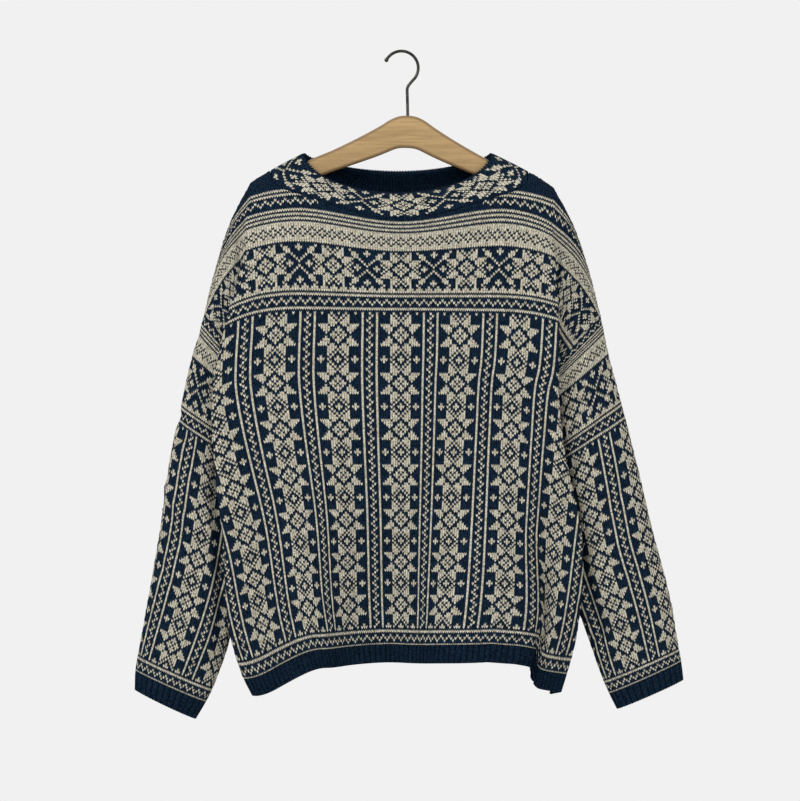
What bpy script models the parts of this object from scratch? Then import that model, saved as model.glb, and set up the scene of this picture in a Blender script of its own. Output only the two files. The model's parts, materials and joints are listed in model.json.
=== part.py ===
"""A wool sweater with drop shoulders, hanging on a wooden hanger.

Lengths in the tables are millimetres, and the meshes are made in metres.
X runs to the wearer's left, Y to the back and Z up. The origin is the inside
of the hook's top, where a rail carries it. Stitches are counted sideways from
the centre line (minus is the wearer's right) and rows upwards from the hem rib.
"""

import math
from collections import namedtuple

import bmesh
import bpy
import numpy as np

MM = 0.001

# Driving dimensions of the knitting
WALL = 3.0
COLLAR_WALL = 5.0
SEAM_GAP = 0.3
HEM_SEAM_ROWS = 0.14
SIDE_STITCH = 109.0
HEM_ROW = -8.0
UNDERARM_ROW = 128.0
SHOULDER_ROW = 212.0
SHOULDER_SLOPE_ROWS = 18.0
NECK_STITCH = 52.0
ROW_HEIGHT = 2.6
FRONT_NECK_ROW = 194.0
BACK_NECK_ROW = 205.0
HEM_RIBS = 152
CUFF_RIBS = 24
RIB_DEPTH = 1.0

# Grid lines of a panel: shares of the half neck, then of the way to the fold and past
NECK_SHARES = [0.0, 0.12, 0.24, 0.36, 0.48, 0.6, 0.7, 0.8, 0.88, 0.95]
NEAR_FOLD = [0.93, 0.975, 1.0]
PAST_FOLD = [1.08, 1.2, 1.35, 1.5, 1.67, 1.84, 2.0]
ROWS_BELOW_ARM = 11
ARMHOLE_STEPS = 10
LAST_RISE = 0.95
SLEEVE_RINGS = 14
COLLAR_COLUMNS = 44

# How the wall stands off the hanger: a round top, then a slow swell
SHOULDER_ROUND = 16.0
SHOULDER_ROUND_DROP = 6.0
BODY_SWELL = 29.0
BODY_SWELL_DROP = 70.0
FOLD_RADIUS = 6.5
FOLD_STITCHES = 4.0
FOLD_SWELL = 5.0
HEM_OPEN_ROW = 60.0
FOLD_FADE_ROWS = 30.0
MID_SHARE = 0.72
DROOP_START = 0.5
HEM_EXTRA_DEPTH = 0.12
HEM_EDGE_LOSS = 0.5
UNDERARM_TUCK = 6.0
SHOULDER_BULGE = 13.0
BULGE_OUT = 0.85
BULGE_UP = 0.4
NeckSwell = namedtuple("NeckSwell", "depth x_width centre_z z_width")
NECK_SWELL = NeckSwell(6.0, 95.0, -215.0, 55.0)

BodySection = namedtuple(
    "BodySection",
    "row centre_z right_mid_z left_mid_z right_x right_z right_stitch"
    " left_x left_z left_stitch right_seam_x left_seam_x seam_z",
)
# right_x/right_z and left_x/left_z follow the two folds that edge the front
BODY = [
    BodySection(-8, -792, -796, -787, -193, -836, 98, 208, -831, 98, -182, 197, -836),
    BodySection(0, -769, -773, -764, -204, -814, 98, 215, -808, 98, -190, 203, -814),
    BodySection(18, -717, -719, -714, -222, -756, 97, 229, -751, 97, -199, 207, -764),
    BodySection(58, -607, -607, -607, -230, -640, 90, 235, -635, 92, -176, 180, -655),
    BodySection(98, -491, -491, -491, -243, -519, 82, 211, -514, 78, -158, 154, -535),
    BodySection(120, -426, -425, -427, -244, -449, 78, 204, -446, 73, -160, 157, -466),
    BodySection(128, -401, -400, -403, -241, -425, 77, 204, -422, 71, -172, 168, -443),
    BodySection(149, -336, -334, -337, -228, -356, 74, 204, -350, 69, -172, 168, -400),
    BodySection(178, -260, -246, -252, -202, -259, 64, 199, -267, 65, -172, 168, -350),
    BodySection(192, -225, -206, -207, -200, -218, 62, 196, -226, 61, -172, 168, -320),
    BodySection(200, -204, -183, -185, -196, -194, 60, 198, -199, 62, -172, 168, -300),
    BodySection(212, -168, -147, -150, -196, -164, 60, 198, -168, 62, -172, 168, -280),
]

Flute = namedtuple("Flute", "stitch forward width top_row")
# Soft drape folds that open towards the hem, forward of the wall or behind it
FRONT_FLUTES = [
    Flute(-76, -7, 8, 90),
    Flute(-50, 27, 19, 115),
    Flute(-9, -24, 16, 120),
    Flute(44, 25, 20, 112),
    Flute(73, -14, 6, 92),
    Flute(87, 7, 8, 80),
]
BACK_FLUTES = [
    Flute(-82, -9, 8, 95),
    Flute(-58, 22, 16, 110),
    Flute(-22, -20, 15, 122),
    Flute(16, 21, 17, 104),
    Flute(50, -17, 14, 118),
    Flute(80, 14, 11, 100),
]

Crowding = namedtuple("Crowding", "stitch shift width")
# Where a flute turns sideways it carries the stitch columns along with it
CROWDING = [
    Crowding(-27, -9, 13),
    Crowding(25, -7, 12),
    Crowding(54, 8, 14),
]

SleeveSection = namedtuple("SleeveSection", "outer_x outer_z inner_x inner_z half_depth")
# The first section is the armhole, the last but one tops the cuff's rib
RIGHT_SLEEVE = [
    SleeveSection(-256, -341, -172, -443, 28),
    SleeveSection(-269, -385, -178, -469, 28),
    SleeveSection(-285, -453, -181, -525, 28),
    SleeveSection(-300, -525, -189, -586, 28),
    SleeveSection(-313, -616, -202, -670, 26),
    SleeveSection(-328, -705, -219, -752, 23),
    SleeveSection(-343, -787, -246, -830, 20),
    SleeveSection(-346, -805, -254, -846, 19),
    SleeveSection(-347, -830, -267, -868, 17),
]
LEFT_SLEEVE = [
    SleeveSection(260, -344, 168, -443, 28),
    SleeveSection(269, -388, 174, -469, 28),
    SleeveSection(285, -450, 178, -526, 28),
    SleeveSection(305, -527, 190, -588, 28),
    SleeveSection(326, -616, 212, -670, 26),
    SleeveSection(350, -709, 242, -757, 23),
    SleeveSection(362, -777, 264, -819, 20),
    SleeveSection(365, -793, 271, -835, 19),
    SleeveSection(368, -817, 281, -855, 17),
]
RIB_SECTION = 7
SHOULDER_TURN = 210.0
FRONT_TURN_POWER = 0.85
BACK_TURN_POWER = 0.9

# Collar: it starts on the panels' neck edge and leans in to this top edge
COLLAR_LIFT = 1.0
COLLAR_STAND = 15.0
COLLAR_LEAN = 0.86
COLLAR_SIDE_RISE = 0.5
COLLAR_TOP = {"half_width": 122.0, "centre_x": -4.5, "side_z": -131.0,
              "front_drop": 52.5, "back_drop": 22.0, "front_y": -19.0, "back_y": 17.0}

# Hanger
HANGER_APEX = (9.0, -82.8)
HANGER_TILT = math.radians(2.1)
HANGER_THICKNESS = 12.0
HANGER_ROUND = 4.0
HangerPoint = namedtuple("HangerPoint", "along top_drop bottom_drop")
HANGER_ARM = [
    HangerPoint(0, 0, 42),
    HangerPoint(12, 1.5, 43),
    HangerPoint(24, 7.0, 48),
    HangerPoint(35, 14.5, 53),
    HangerPoint(94, 47.5, 76),
    HangerPoint(122, 60.4, 88),
    HangerPoint(150, 74.7, 100),
    HangerPoint(172, 86.2, 109),
    HangerPoint(182, 92.0, 113),
    HangerPoint(186, 97.0, 110),
]
WIRE_RADIUS = 1.5
HOOK_CENTRE = (0.5, -20.5)
HOOK_RADIUS = 22.0
HOOK_SHANK_X = 8.0


def smooth_step(value):
    value = np.clip(value, 0.0, 1.0)
    return value * value * (3.0 - 2.0 * value)


def table_curve(stations, values, wanted):
    """Smooth curve through a short table, with slopes from its neighbours."""
    stations = np.asarray(stations, float)
    values = np.asarray(values, float)
    steps = np.diff(values) / np.diff(stations)
    slopes = np.empty_like(values)
    slopes[1:-1] = (steps[:-1] + steps[1:]) / 2.0
    slopes[0] = steps[0]
    slopes[-1] = steps[-1]
    wanted = np.clip(wanted, stations[0], stations[-1])
    index = np.clip(np.searchsorted(stations, wanted, "right") - 1, 0, len(stations) - 2)
    span = stations[index + 1] - stations[index]
    t = (wanted - stations[index]) / span
    start = values[index] * (1 + 2 * t) * (1 - t) ** 2 + slopes[index] * span * t * (1 - t) ** 2
    end = values[index + 1] * t * t * (3 - 2 * t) - slopes[index + 1] * span * t * t * (1 - t)
    return start + end


def body_value(name, row):
    return table_curve([s.row for s in BODY], [getattr(s, name) for s in BODY], row)


def top_row(stitch, neck_row):
    """Last row of a panel: sloping shoulders and a scooped neck."""
    across = np.abs(stitch)
    slope = SHOULDER_SLOPE_ROWS * (across - NECK_STITCH) / (SIDE_STITCH - NECK_STITCH)
    scoop = np.sqrt(np.clip(1.0 - (across / NECK_STITCH) ** 2, 0.0, 1.0))
    neck = SHOULDER_ROW - (SHOULDER_ROW - neck_row) * scoop ** 0.7
    return np.where(across > NECK_STITCH, SHOULDER_ROW - slope, neck)


def shoulder_line_row(stitch):
    """Row where the wall would close over the hanger, carried across the neck."""
    across = np.abs(stitch)
    slope = SHOULDER_SLOPE_ROWS * (across - NECK_STITCH) / (SIDE_STITCH - NECK_STITCH)
    over_neck = 0.6 * (NECK_STITCH - across)
    return SHOULDER_ROW + np.where(across > NECK_STITCH, -slope, over_neck)


def edge_stitch(stitch, row):
    return np.where(stitch < 0, body_value("right_stitch", row), body_value("left_stitch", row))


def wall_point(stitch, row, flutes, face):
    """A point on the flat of the front (face -1) or the back (face 1)."""
    wearer_right = stitch < 0
    edge = edge_stitch(stitch, row)
    share = np.clip(np.abs(stitch) / edge, 0.0, 1.0)
    edge_x = np.where(wearer_right, body_value("right_x", row), body_value("left_x", row))
    edge_z = np.where(wearer_right, body_value("right_z", row), body_value("left_z", row))
    mid_z = np.where(wearer_right, body_value("right_mid_z", row), body_value("left_mid_z", row))
    hem_share = smooth_step((UNDERARM_ROW - row) / (UNDERARM_ROW - HEM_ROW))
    x = edge_x * share
    for fold in CROWDING:
        fade = 1.0 - smooth_step((np.abs(stitch) / edge - 0.7) / 0.3)
        x = x + hem_share * fade * fold.shift * np.exp(-((stitch - fold.stitch) / fold.width) ** 2)
    outer = np.clip((share - DROOP_START) / (1.0 - DROOP_START), 0.0, 1.0)
    droop = (1.0 - hem_share) * outer ** 3 + hem_share * smooth_step(outer)
    centre_z = body_value("centre_z", row)
    z = centre_z + (mid_z - centre_z) * smooth_step(share / MID_SHARE) + (edge_z - mid_z) * droop
    below = np.clip((shoulder_line_row(stitch) - row) * ROW_HEIGHT, 0.0, None)
    depth = SHOULDER_ROUND * np.sqrt(1.0 - np.exp(-below / SHOULDER_ROUND_DROP))
    depth = depth + BODY_SWELL * (1.0 - np.exp(-below / BODY_SWELL_DROP))
    depth = depth * (1.0 + HEM_EXTRA_DEPTH * hem_share - HEM_EDGE_LOSS * hem_share * share ** 4)
    neck_off = (x / NECK_SWELL.x_width) ** 2 + ((z - NECK_SWELL.centre_z) / NECK_SWELL.z_width) ** 2
    depth = depth + NECK_SWELL.depth * np.exp(-neck_off)
    beside_fold = smooth_step((row - 30.0) / 60.0) * smooth_step((195.0 - row) / 40.0)
    depth = depth + FOLD_SWELL * beside_fold * share ** 4
    for flute in flutes:
        grown = smooth_step((flute.top_row - row) / flute.top_row)
        depth = depth + grown * flute.forward * np.exp(-((stitch - flute.stitch) / flute.width) ** 2)
    turn = np.clip((np.abs(stitch) - (edge - FOLD_STITCHES)) / FOLD_STITCHES, 0.0, 1.0)
    crease = smooth_step((SHOULDER_ROW - 6.0 - row) / FOLD_FADE_ROWS)
    depth = depth - crease * FOLD_RADIUS * (1.0 - np.sqrt(1.0 - turn ** 2))
    return np.stack([x, face * depth, z], axis=-1)


def sleeve_stations(sections):
    """How far down the sleeve each section lies, as a running length."""
    middles = np.array([[(s.outer_x + s.inner_x) / 2, (s.outer_z + s.inner_z) / 2]
                        for s in sections])
    steps = np.linalg.norm(np.diff(middles, axis=0), axis=1)
    return np.concatenate([[0.0], np.cumsum(steps)])


def sleeve_point(sections, angle, along):
    """A point on a sleeve; angle 0 is the underarm, 90 the front, 180 outside."""
    stations = sleeve_stations(sections)
    outer_x, outer_z, inner_x, inner_z, depth = (
        table_curve(stations, [getattr(s, name) for s in sections], along)
        for name in SleeveSection._fields
    )
    turn = np.radians(angle)
    across = np.cos(turn)
    x = (outer_x + inner_x) / 2 + (inner_x - outer_x) / 2 * across
    z = (outer_z + inner_z) / 2 + (inner_z - outer_z) / 2 * across
    return np.stack([x, -depth * np.sin(turn), z], axis=-1)


def armhole_point(sections, rise, face):
    """The armhole from the underarm (rise 0) to the shoulder seam (rise 1)."""
    turn = SHOULDER_TURN * rise ** FRONT_TURN_POWER
    if face > 0:
        turn = 360.0 - (360.0 - SHOULDER_TURN) * rise ** BACK_TURN_POWER
    return sleeve_point(sections, turn, np.zeros_like(turn))


def side_point(stitch, row, flutes, face):
    """The cloth past the fold: the tuck under the arm and the drop shoulder."""
    wearer_right = stitch < 0
    sign = np.where(wearer_right, -1.0, 1.0)
    edge = edge_stitch(stitch, row)
    past = np.clip((np.abs(stitch) - edge) / (SIDE_STITCH - edge), 0.0, 1.0)
    last = top_row(stitch, FRONT_NECK_ROW)
    rise = np.clip((row - UNDERARM_ROW) / (last - UNDERARM_ROW), 0.0, 1.0)
    edge_rise = rise * (top_row(sign * edge, FRONT_NECK_ROW) - UNDERARM_ROW)
    fold_row = np.where(row > UNDERARM_ROW, UNDERARM_ROW + edge_rise, row)
    edge_there = edge_stitch(stitch, fold_row)
    fold = wall_point(sign * edge_there, fold_row, flutes, face)
    seam_x = np.where(wearer_right, body_value("right_seam_x", row), body_value("left_seam_x", row))
    seam = np.stack([seam_x, np.zeros_like(seam_x), body_value("seam_z", row)], axis=-1)
    hole = np.where(
        wearer_right[..., None],
        armhole_point(RIGHT_SLEEVE, rise, face),
        armhole_point(LEFT_SLEEVE, rise, face),
    )
    end = np.where((row > UNDERARM_ROW)[..., None], hole, seam)
    tucked = 1.0 - smooth_step(rise / 0.45)
    open_hem = smooth_step((HEM_OPEN_ROW - row) / HEM_OPEN_ROW)
    behind = smooth_step((past - 0.15) / 0.5)
    ease_x = past + tucked * (past - past ** 2)
    ease_y = behind + tucked * (past ** 2.5 - behind)
    ease_x = ease_x + open_hem * (smooth_step(past) - ease_x)
    ease_y = ease_y + open_hem * (past - ease_y)
    creased = smooth_step((SHOULDER_ROW - 8.0 - row) / FOLD_FADE_ROWS) * (1.0 - open_hem)
    leg_y = fold[..., 1] - face * creased * FOLD_RADIUS * smooth_step(past / 0.1)
    x = fold[..., 0] + (end[..., 0] - fold[..., 0]) * ease_x
    y = leg_y + (end[..., 1] - leg_y) * ease_y
    z = fold[..., 2] + (end[..., 2] - fold[..., 2]) * past
    hump = np.sin(np.pi * past ** 0.85)
    under = smooth_step((row - 100.0) / 28.0)
    tuck = UNDERARM_TUCK * np.sin(np.pi * (0.12 + 0.88 * rise)) * under
    x = x - sign * tuck * hump
    swell = SHOULDER_BULGE * np.sin(np.pi * past) * smooth_step((rise - 0.3) / 0.6)
    x = x + sign * swell * BULGE_OUT
    z = z + swell * BULGE_UP
    return np.stack([x, y, z], axis=-1)


def panel_point(stitch, row, flutes, face):
    edge = edge_stitch(stitch, row)
    past_fold = (np.abs(stitch) > edge)[..., None]
    flat = wall_point(stitch, row, flutes, face)
    return np.where(past_fold, side_point(stitch, row, flutes, face), flat)


def collar_base(angle):
    """The neck edge of both panels; angle 0 is the wearer's left, 270 the front."""
    turn = np.radians(angle)
    wanted = NECK_STITCH * np.cos(turn)
    shares = np.append(NECK_SHARES, 1.0)
    stitch = NECK_STITCH * np.concatenate([-shares[:0:-1], shares])
    front = panel_point(stitch, top_row(stitch, FRONT_NECK_ROW), FRONT_FLUTES, -1.0)
    back = panel_point(stitch, top_row(stitch, BACK_NECK_ROW), BACK_FLUTES, 1.0)
    front, back = (np.stack([np.interp(wanted, stitch, edge[:, axis]) for axis in range(3)], axis=-1)
                   for edge in (front, back))
    return np.where((np.sin(turn) > 0)[..., None], back, front)


def collar_top(angle):
    turn = np.radians(angle)
    back = np.sin(turn) > 0
    rise = np.abs(np.sin(turn))
    x = COLLAR_TOP["centre_x"] + COLLAR_TOP["half_width"] * np.cos(turn)
    y = np.where(back, COLLAR_TOP["back_y"], COLLAR_TOP["front_y"]) * rise ** 0.35
    back_drop = COLLAR_TOP["back_drop"] * rise ** 0.8
    drop = np.where(back, back_drop, COLLAR_TOP["front_drop"] * rise ** 1.1)
    return np.stack([x, y, COLLAR_TOP["side_z"] - drop], axis=-1)


def collar_point(angle, height):
    """Height 0 is the base seam and 1 the folded top edge; the band bows out."""
    turn = np.radians(angle)
    side = np.abs(np.cos(turn))
    middle = np.abs(np.sin(turn))
    stand = np.stack([-COLLAR_LEAN * np.cos(turn), 0 * turn, COLLAR_SIDE_RISE * side + middle],
                     axis=-1)
    base = collar_base(angle) + stand * COLLAR_LIFT
    lower = base + stand * COLLAR_STAND
    share = np.asarray(height)[..., None]
    start = base + (lower - base) * share
    end = lower + (collar_top(angle) - lower) * share
    return start + (end - start) * share


def unit(vectors):
    return vectors / np.linalg.norm(vectors, axis=-1, keepdims=True)


def grid_tangents(points, axis, closed):
    """Directions along one axis of a grid, halfway between the two edges that meet."""
    if closed:
        steps = unit(np.roll(points, -1, axis=axis) - points)
        return steps + np.roll(steps, 1, axis=axis)
    steps = unit(np.diff(points, axis=axis))
    ends = np.concatenate([steps.take([0], axis), steps, steps.take([-1], axis)], axis=axis)
    count = points.shape[axis]
    return ends.take(range(count), axis) + ends.take(range(1, count + 1), axis)


def outward_normals(points, closed=False, flip=False):
    """Normals of a grid of points, rows first, on the side that is the outside."""
    across = grid_tangents(points, 1, closed)
    up = grid_tangents(points, 0, False)
    return unit(np.cross(across, up)) * (-1.0 if flip else 1.0)


def cloth_material(name, colour, roughness):
    material = bpy.data.materials.new(name)
    material.use_nodes = True
    shader = material.node_tree.nodes["Principled BSDF"]
    shader.inputs["Base Color"].default_value = (*colour, 1.0)
    shader.inputs["Roughness"].default_value = roughness
    return material


NAVY = (0.012, 0.024, 0.045)
WOOD = (0.58, 0.37, 0.14)
STEEL = (0.08, 0.07, 0.06)


def place(obj, collection, material):
    for other in obj.users_collection:
        other.objects.unlink(obj)
    collection.objects.link(obj)
    obj.data.materials.clear()
    obj.data.materials.append(material)
    return obj


def grid_faces(rows, columns, closed):
    """Quads of a grid, and the loops of points round its open edges."""
    faces = []
    for row in range(rows - 1):
        for column in range(columns if closed else columns - 1):
            following = (column + 1) % columns
            faces.append((row * columns + column, row * columns + following,
                          (row + 1) * columns + following, (row + 1) * columns + column))
    bottom = list(range(columns))
    top = list(range((rows - 1) * columns, rows * columns))
    if closed:
        return faces, [bottom, top[::-1]]
    right = list(range(2 * columns - 1, (rows - 1) * columns, columns))
    left = list(range(columns, (rows - 1) * columns, columns))
    return faces, [bottom + right + top[::-1] + left[::-1]]


def split_quad(corners, quad):
    """Two triangles across the shorter diagonal, so walls that meet split alike."""
    a, b, c, d = quad
    if np.linalg.norm(corners[a] - corners[c]) > np.linalg.norm(corners[b] - corners[d]):
        a, b, c, d = b, c, d, a
    return [(a, b, c), (a, c, d)]


def cloth_wall(name, points, normals, collection, closed=False, wall=WALL, ribs=False):
    """A thick cloth wall from a grid of outer points, its thickness inwards.

    With ribs, every second column of outer points sinks by the rib's depth, and
    the inside stays plain. The faces are made by hand, because Solidify can't
    turn the edges of two pieces along one shared direction, and without that
    their walls cross at a seam.
    """
    rows, columns = points.shape[:2]
    sunk = np.zeros((rows, columns, 1))
    if ribs:
        sunk[:, 1::2] = RIB_DEPTH
    outer = (points - normals * sunk).reshape(-1, 3)
    inner = (points - normals * wall).reshape(-1, 3)
    quads, loops = grid_faces(rows, columns, closed)
    count = len(outer)
    corners = np.concatenate([outer, inner])
    faces = []
    for quad in quads:
        halves = split_quad(corners, quad)
        faces += halves
        faces += [tuple(corner + count for corner in half[::-1]) for half in halves]
    for loop in loops:
        for here, there in zip(loop, loop[1:] + loop[:1]):
            faces += split_quad(corners, (there, here, here + count, there + count))
    mesh = bpy.data.meshes.new(name)
    mesh.from_pydata([tuple(p) for p in corners * MM], [], faces)
    form = bmesh.new()
    form.from_mesh(mesh)
    bmesh.ops.recalc_face_normals(form, faces=form.faces)
    form.to_mesh(mesh)
    form.free()
    mesh.shade_smooth()
    mesh.set_sharp_from_angle(angle=math.radians(50))
    obj = bpy.data.objects.new(name, mesh)
    collection.objects.link(obj)
    return place(obj, collection, cloth_material(name, NAVY, 0.9))


def column_shares():
    """Shares across a panel: -1 to 1 is the flat, and up to 2 lies past a fold.

    One line on each side runs up to the end of the neck.
    """
    neck = np.append(NECK_SHARES, 1.0) * NECK_STITCH
    outer = np.concatenate([NEAR_FOLD, PAST_FOLD])
    right = np.concatenate([neck / BODY[-1].right_stitch, outer])
    left = np.concatenate([neck / BODY[-1].left_stitch, outer])
    return np.concatenate([-right[:0:-1], left])


def spread_stitches(shares, row):
    """Stitch numbers whose grid lines follow the folds."""
    edge = edge_stitch(shares, row)
    inside = shares * edge
    beyond = np.sign(shares) * (edge + (np.abs(shares) - 1.0) * (SIDE_STITCH - edge))
    return np.where(np.abs(shares) > 1.0, beyond, inside)


def panel_grid(row_shares, neck_row, flutes, face):
    """Grid of a body panel from the top of the hem rib to shoulder and neck."""
    shares = column_shares()
    grid = np.empty((len(row_shares), len(shares), 3))
    for index, share in enumerate(row_shares):
        row = np.full_like(shares, share * SHOULDER_ROW)
        for _ in range(4):
            stitch = spread_stitches(shares, row)
            row = share * top_row(stitch, neck_row)
        grid[index] = panel_point(stitch, row, flutes, face)
    return grid


def armhole_rises():
    """Steps up the armhole, even in the angle that the front turns through."""
    steps = (np.arange(ARMHOLE_STEPS + 1) / ARMHOLE_STEPS) ** (1.0 / FRONT_TURN_POWER)
    return np.sort(np.append(steps, LAST_RISE))


def panel_row_shares():
    under_arm = UNDERARM_ROW / (SHOULDER_ROW - SHOULDER_SLOPE_ROWS)
    first = HEM_SEAM_ROWS / SHOULDER_ROW
    below = np.linspace(0.0, under_arm, ROWS_BELOW_ARM + 1)[1:-1]
    above = under_arm + (1.0 - under_arm) * armhole_rises()
    return np.concatenate([[first], below, above])


def sleeve_grid(sections):
    """The sleeve's tube; its first ring meets the panels point for point."""
    wrist = sleeve_stations(sections)[RIB_SECTION]
    rises = armhole_rises()
    front = SHOULDER_TURN * rises ** FRONT_TURN_POWER
    back = 360.0 - (360.0 - SHOULDER_TURN) * rises[1:-1] ** BACK_TURN_POWER
    lengths = np.linspace(0.0, wrist, SLEEVE_RINGS)
    lengths[-1] = wrist - SEAM_GAP
    return sleeve_point(sections, *np.meshgrid(np.concatenate([front, back[::-1]]), lengths))


def level_normals(points, normals):
    """Keep the normals of a flat ring in the ring's own plane."""
    middle = points.mean(axis=0)
    facing = unit(np.cross(points[0] - middle, points[len(points) // 4] - middle))
    return unit(normals - (normals @ facing)[:, None] * facing)


def join_armhole(front, back, column, sleeve, tube):
    """Panels and sleeve share one direction through the cloth round the armhole.

    Returns half the seam's gap as steps towards the sleeve, for the front and
    the back, and leaves the tube's first ring moved by them.
    """
    ring = len(sleeve[0])
    steps = np.arange(ring // 2 + 1)
    first = len(front) - len(steps)
    shared = sleeve[0].copy()
    shared[[0, ring // 2]] *= 2.0
    shared[steps] += front[first:, column]
    np.add.at(shared, (ring - steps) % ring, back[first:, column])
    shared = unit(shared)
    front[first:, column] = shared[steps]
    back[first:, column] = shared[(ring - steps) % ring]
    sleeve[0] = shared
    edge = np.roll(tube[0], -1, axis=0) - np.roll(tube[0], 1, axis=0)
    away = unit(np.cross(edge, shared))
    away = away * np.sign(np.sum(away * (tube[1] - tube[0]), axis=-1, keepdims=True))
    away = away * SEAM_GAP / 2.0
    tube[0] += away
    return away[steps], away[(ring - steps) % ring]


def build_cloth(collection):
    """Panels, hem and sleeves, joined so that their walls meet squarely at the seams."""
    row_shares = panel_row_shares()
    front = panel_grid(row_shares, FRONT_NECK_ROW, FRONT_FLUTES, -1.0)
    back = panel_grid(row_shares, BACK_NECK_ROW, BACK_FLUTES, 1.0)
    front_normals = outward_normals(front)
    back_normals = outward_normals(back, flip=True)
    seam = np.abs(spread_stitches(column_shares(), SHOULDER_ROW)) > NECK_STITCH - 0.01
    apart = unit(front[-2] - back[-2]) * seam[:, None] * SEAM_GAP / 2.0
    shoulder = unit(front_normals[-1] + back_normals[-1])
    front_normals[-1, seam] = shoulder[seam]
    back_normals[-1, seam] = shoulder[seam]
    for column in (0, -1):
        side = unit(front_normals[:ROWS_BELOW_ARM, column] + back_normals[:ROWS_BELOW_ARM, column])
        front_normals[:ROWS_BELOW_ARM, column] = side
        back_normals[:ROWS_BELOW_ARM, column] = side
    for side, sections, column in (("right", RIGHT_SLEEVE, 0), ("left", LEFT_SLEEVE, -1)):
        flip = side == "left"
        tube = sleeve_grid(sections)
        normals = outward_normals(tube, True, flip)
        front_gap, back_gap = join_armhole(front_normals, back_normals, column, normals, tube)
        front[ROWS_BELOW_ARM:, column] -= front_gap
        back[ROWS_BELOW_ARM:, column] -= back_gap
        normals[-1] = level_normals(tube[-1], normals[-1])
        cloth_wall("sleeve_" + side, tube, normals, collection, closed=True)
        build_cuff(side, sections, flip, collection)
    front[-1] += apart
    back[-1] -= apart
    for column in (0, -1):
        front[:ROWS_BELOW_ARM + 1, column, 1] -= SEAM_GAP / 2.0
        back[:ROWS_BELOW_ARM + 1, column, 1] += SEAM_GAP / 2.0
    cloth_wall("body_front", front, front_normals, collection)
    cloth_wall("body_back", back, back_normals, collection)
    build_hem(front_normals[0], back_normals[0], collection)


def build_cuff(side, sections, flip, collection):
    stations = sleeve_stations(sections)
    angles = np.linspace(0.0, 360.0, 2 * CUFF_RIBS + 1)[:-1]
    cuff = sleeve_point(sections, *np.meshgrid(angles, [stations[RIB_SECTION], stations[-1]]))
    normals = outward_normals(cuff, True, flip)
    normals = np.stack([level_normals(ring, facing) for ring, facing in zip(cuff, normals)])
    cloth_wall("cuff_" + side, cuff, normals, collection, closed=True, ribs=True)


def build_hem(front_normals, back_normals, collection):
    """One ring: across the front from right to left, then back across the back."""
    ribs = SIDE_STITCH * (np.linspace(-1.0, 1.0, HEM_RIBS + 1)[:-1] + 1.0 / HEM_RIBS)

    def ring(row, on_front, on_back):
        stitches = spread_stitches(column_shares(), row)
        front = [np.interp(ribs, stitches, on_front[:, axis]) for axis in range(3)]
        back = [np.interp(ribs[::-1], stitches, on_back[:, axis]) for axis in range(3)]
        return np.concatenate([front, back], axis=1).T

    grid = []
    for row in (HEM_ROW, -HEM_SEAM_ROWS):
        stitches = spread_stitches(column_shares(), row)
        level = np.full_like(stitches, row)
        front = panel_point(stitches, level, FRONT_FLUTES, -1.0)
        back = panel_point(stitches, level, BACK_FLUTES, 1.0)
        grid.append(ring(row, front, back))
    grid = np.array(grid)
    normals = outward_normals(grid, closed=True)
    normals[-1] = unit(ring(-HEM_SEAM_ROWS, front_normals, back_normals))
    cloth_wall("hem_rib", grid, normals, collection, closed=True, ribs=True)


def build_neckband(collection):
    angles = np.linspace(0.0, 360.0, COLLAR_COLUMNS + 1)[:-1]
    band = collar_point(*np.meshgrid(angles, [0.0, 0.25, 0.5, 0.75, 1.0]))
    normals = outward_normals(band, closed=True)
    cloth_wall("neckband", band, normals, collection, closed=True, wall=COLLAR_WALL)


def hanger_outline():
    """The closed outline, symmetric about the hook, then tilted as it hangs."""
    right = [(p.along, -p.top_drop) for p in HANGER_ARM]
    under = [(p.along, -p.bottom_drop) for p in HANGER_ARM]
    half = right + under[::-1]
    mirrored = [(-x, z) for x, z in half[::-1] if x > 0]
    outline = half + mirrored
    cosine = math.cos(HANGER_TILT)
    sine = math.sin(HANGER_TILT)
    return [(HANGER_APEX[0] + x * cosine + z * sine, HANGER_APEX[1] - x * sine + z * cosine)
            for x, z in outline]


def build_hanger(collection):
    mesh = bpy.data.meshes.new("hanger_wood")
    form = bmesh.new()
    corners = [form.verts.new((x * MM, -HANGER_THICKNESS / 2 * MM, z * MM))
               for x, z in hanger_outline()]
    face = form.faces.new(corners)
    face.normal_update()
    moved = bmesh.ops.extrude_face_region(form, geom=[face])
    pulled = [v for v in moved["geom"] if isinstance(v, bmesh.types.BMVert)]
    bmesh.ops.translate(form, verts=pulled, vec=(0.0, HANGER_THICKNESS * MM, 0.0))
    bmesh.ops.recalc_face_normals(form, faces=form.faces)
    form.to_mesh(mesh)
    form.free()
    mesh.shade_smooth()
    mesh.set_sharp_from_angle(angle=math.radians(40))
    obj = bpy.data.objects.new("hanger_wood", mesh)
    collection.objects.link(obj)
    bevel = obj.modifiers.new("rounding", "BEVEL")
    bevel.width = HANGER_ROUND * MM
    bevel.segments = 3
    bevel.angle_limit = math.radians(60)
    place(obj, collection, cloth_material("hanger_wood", WOOD, 0.45))


def hook_route():
    """From the open tip over the top and down the shank to the wood."""
    centre_x, centre_z = HOOK_CENTRE
    route = []
    for degrees in np.linspace(152.0, -38.0, 20):
        turn = math.radians(degrees)
        route.append((centre_x + HOOK_RADIUS * math.cos(turn),
                      centre_z + HOOK_RADIUS * math.sin(turn)))
    foot = HANGER_APEX[1] + SEAM_GAP
    route.append((HOOK_SHANK_X + 1.5, -43.5))
    route.append((HOOK_SHANK_X, -50.0))
    route.append((HOOK_SHANK_X + 0.5, -66.0))
    route.append((HOOK_SHANK_X + 0.8, foot))
    return route


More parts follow.
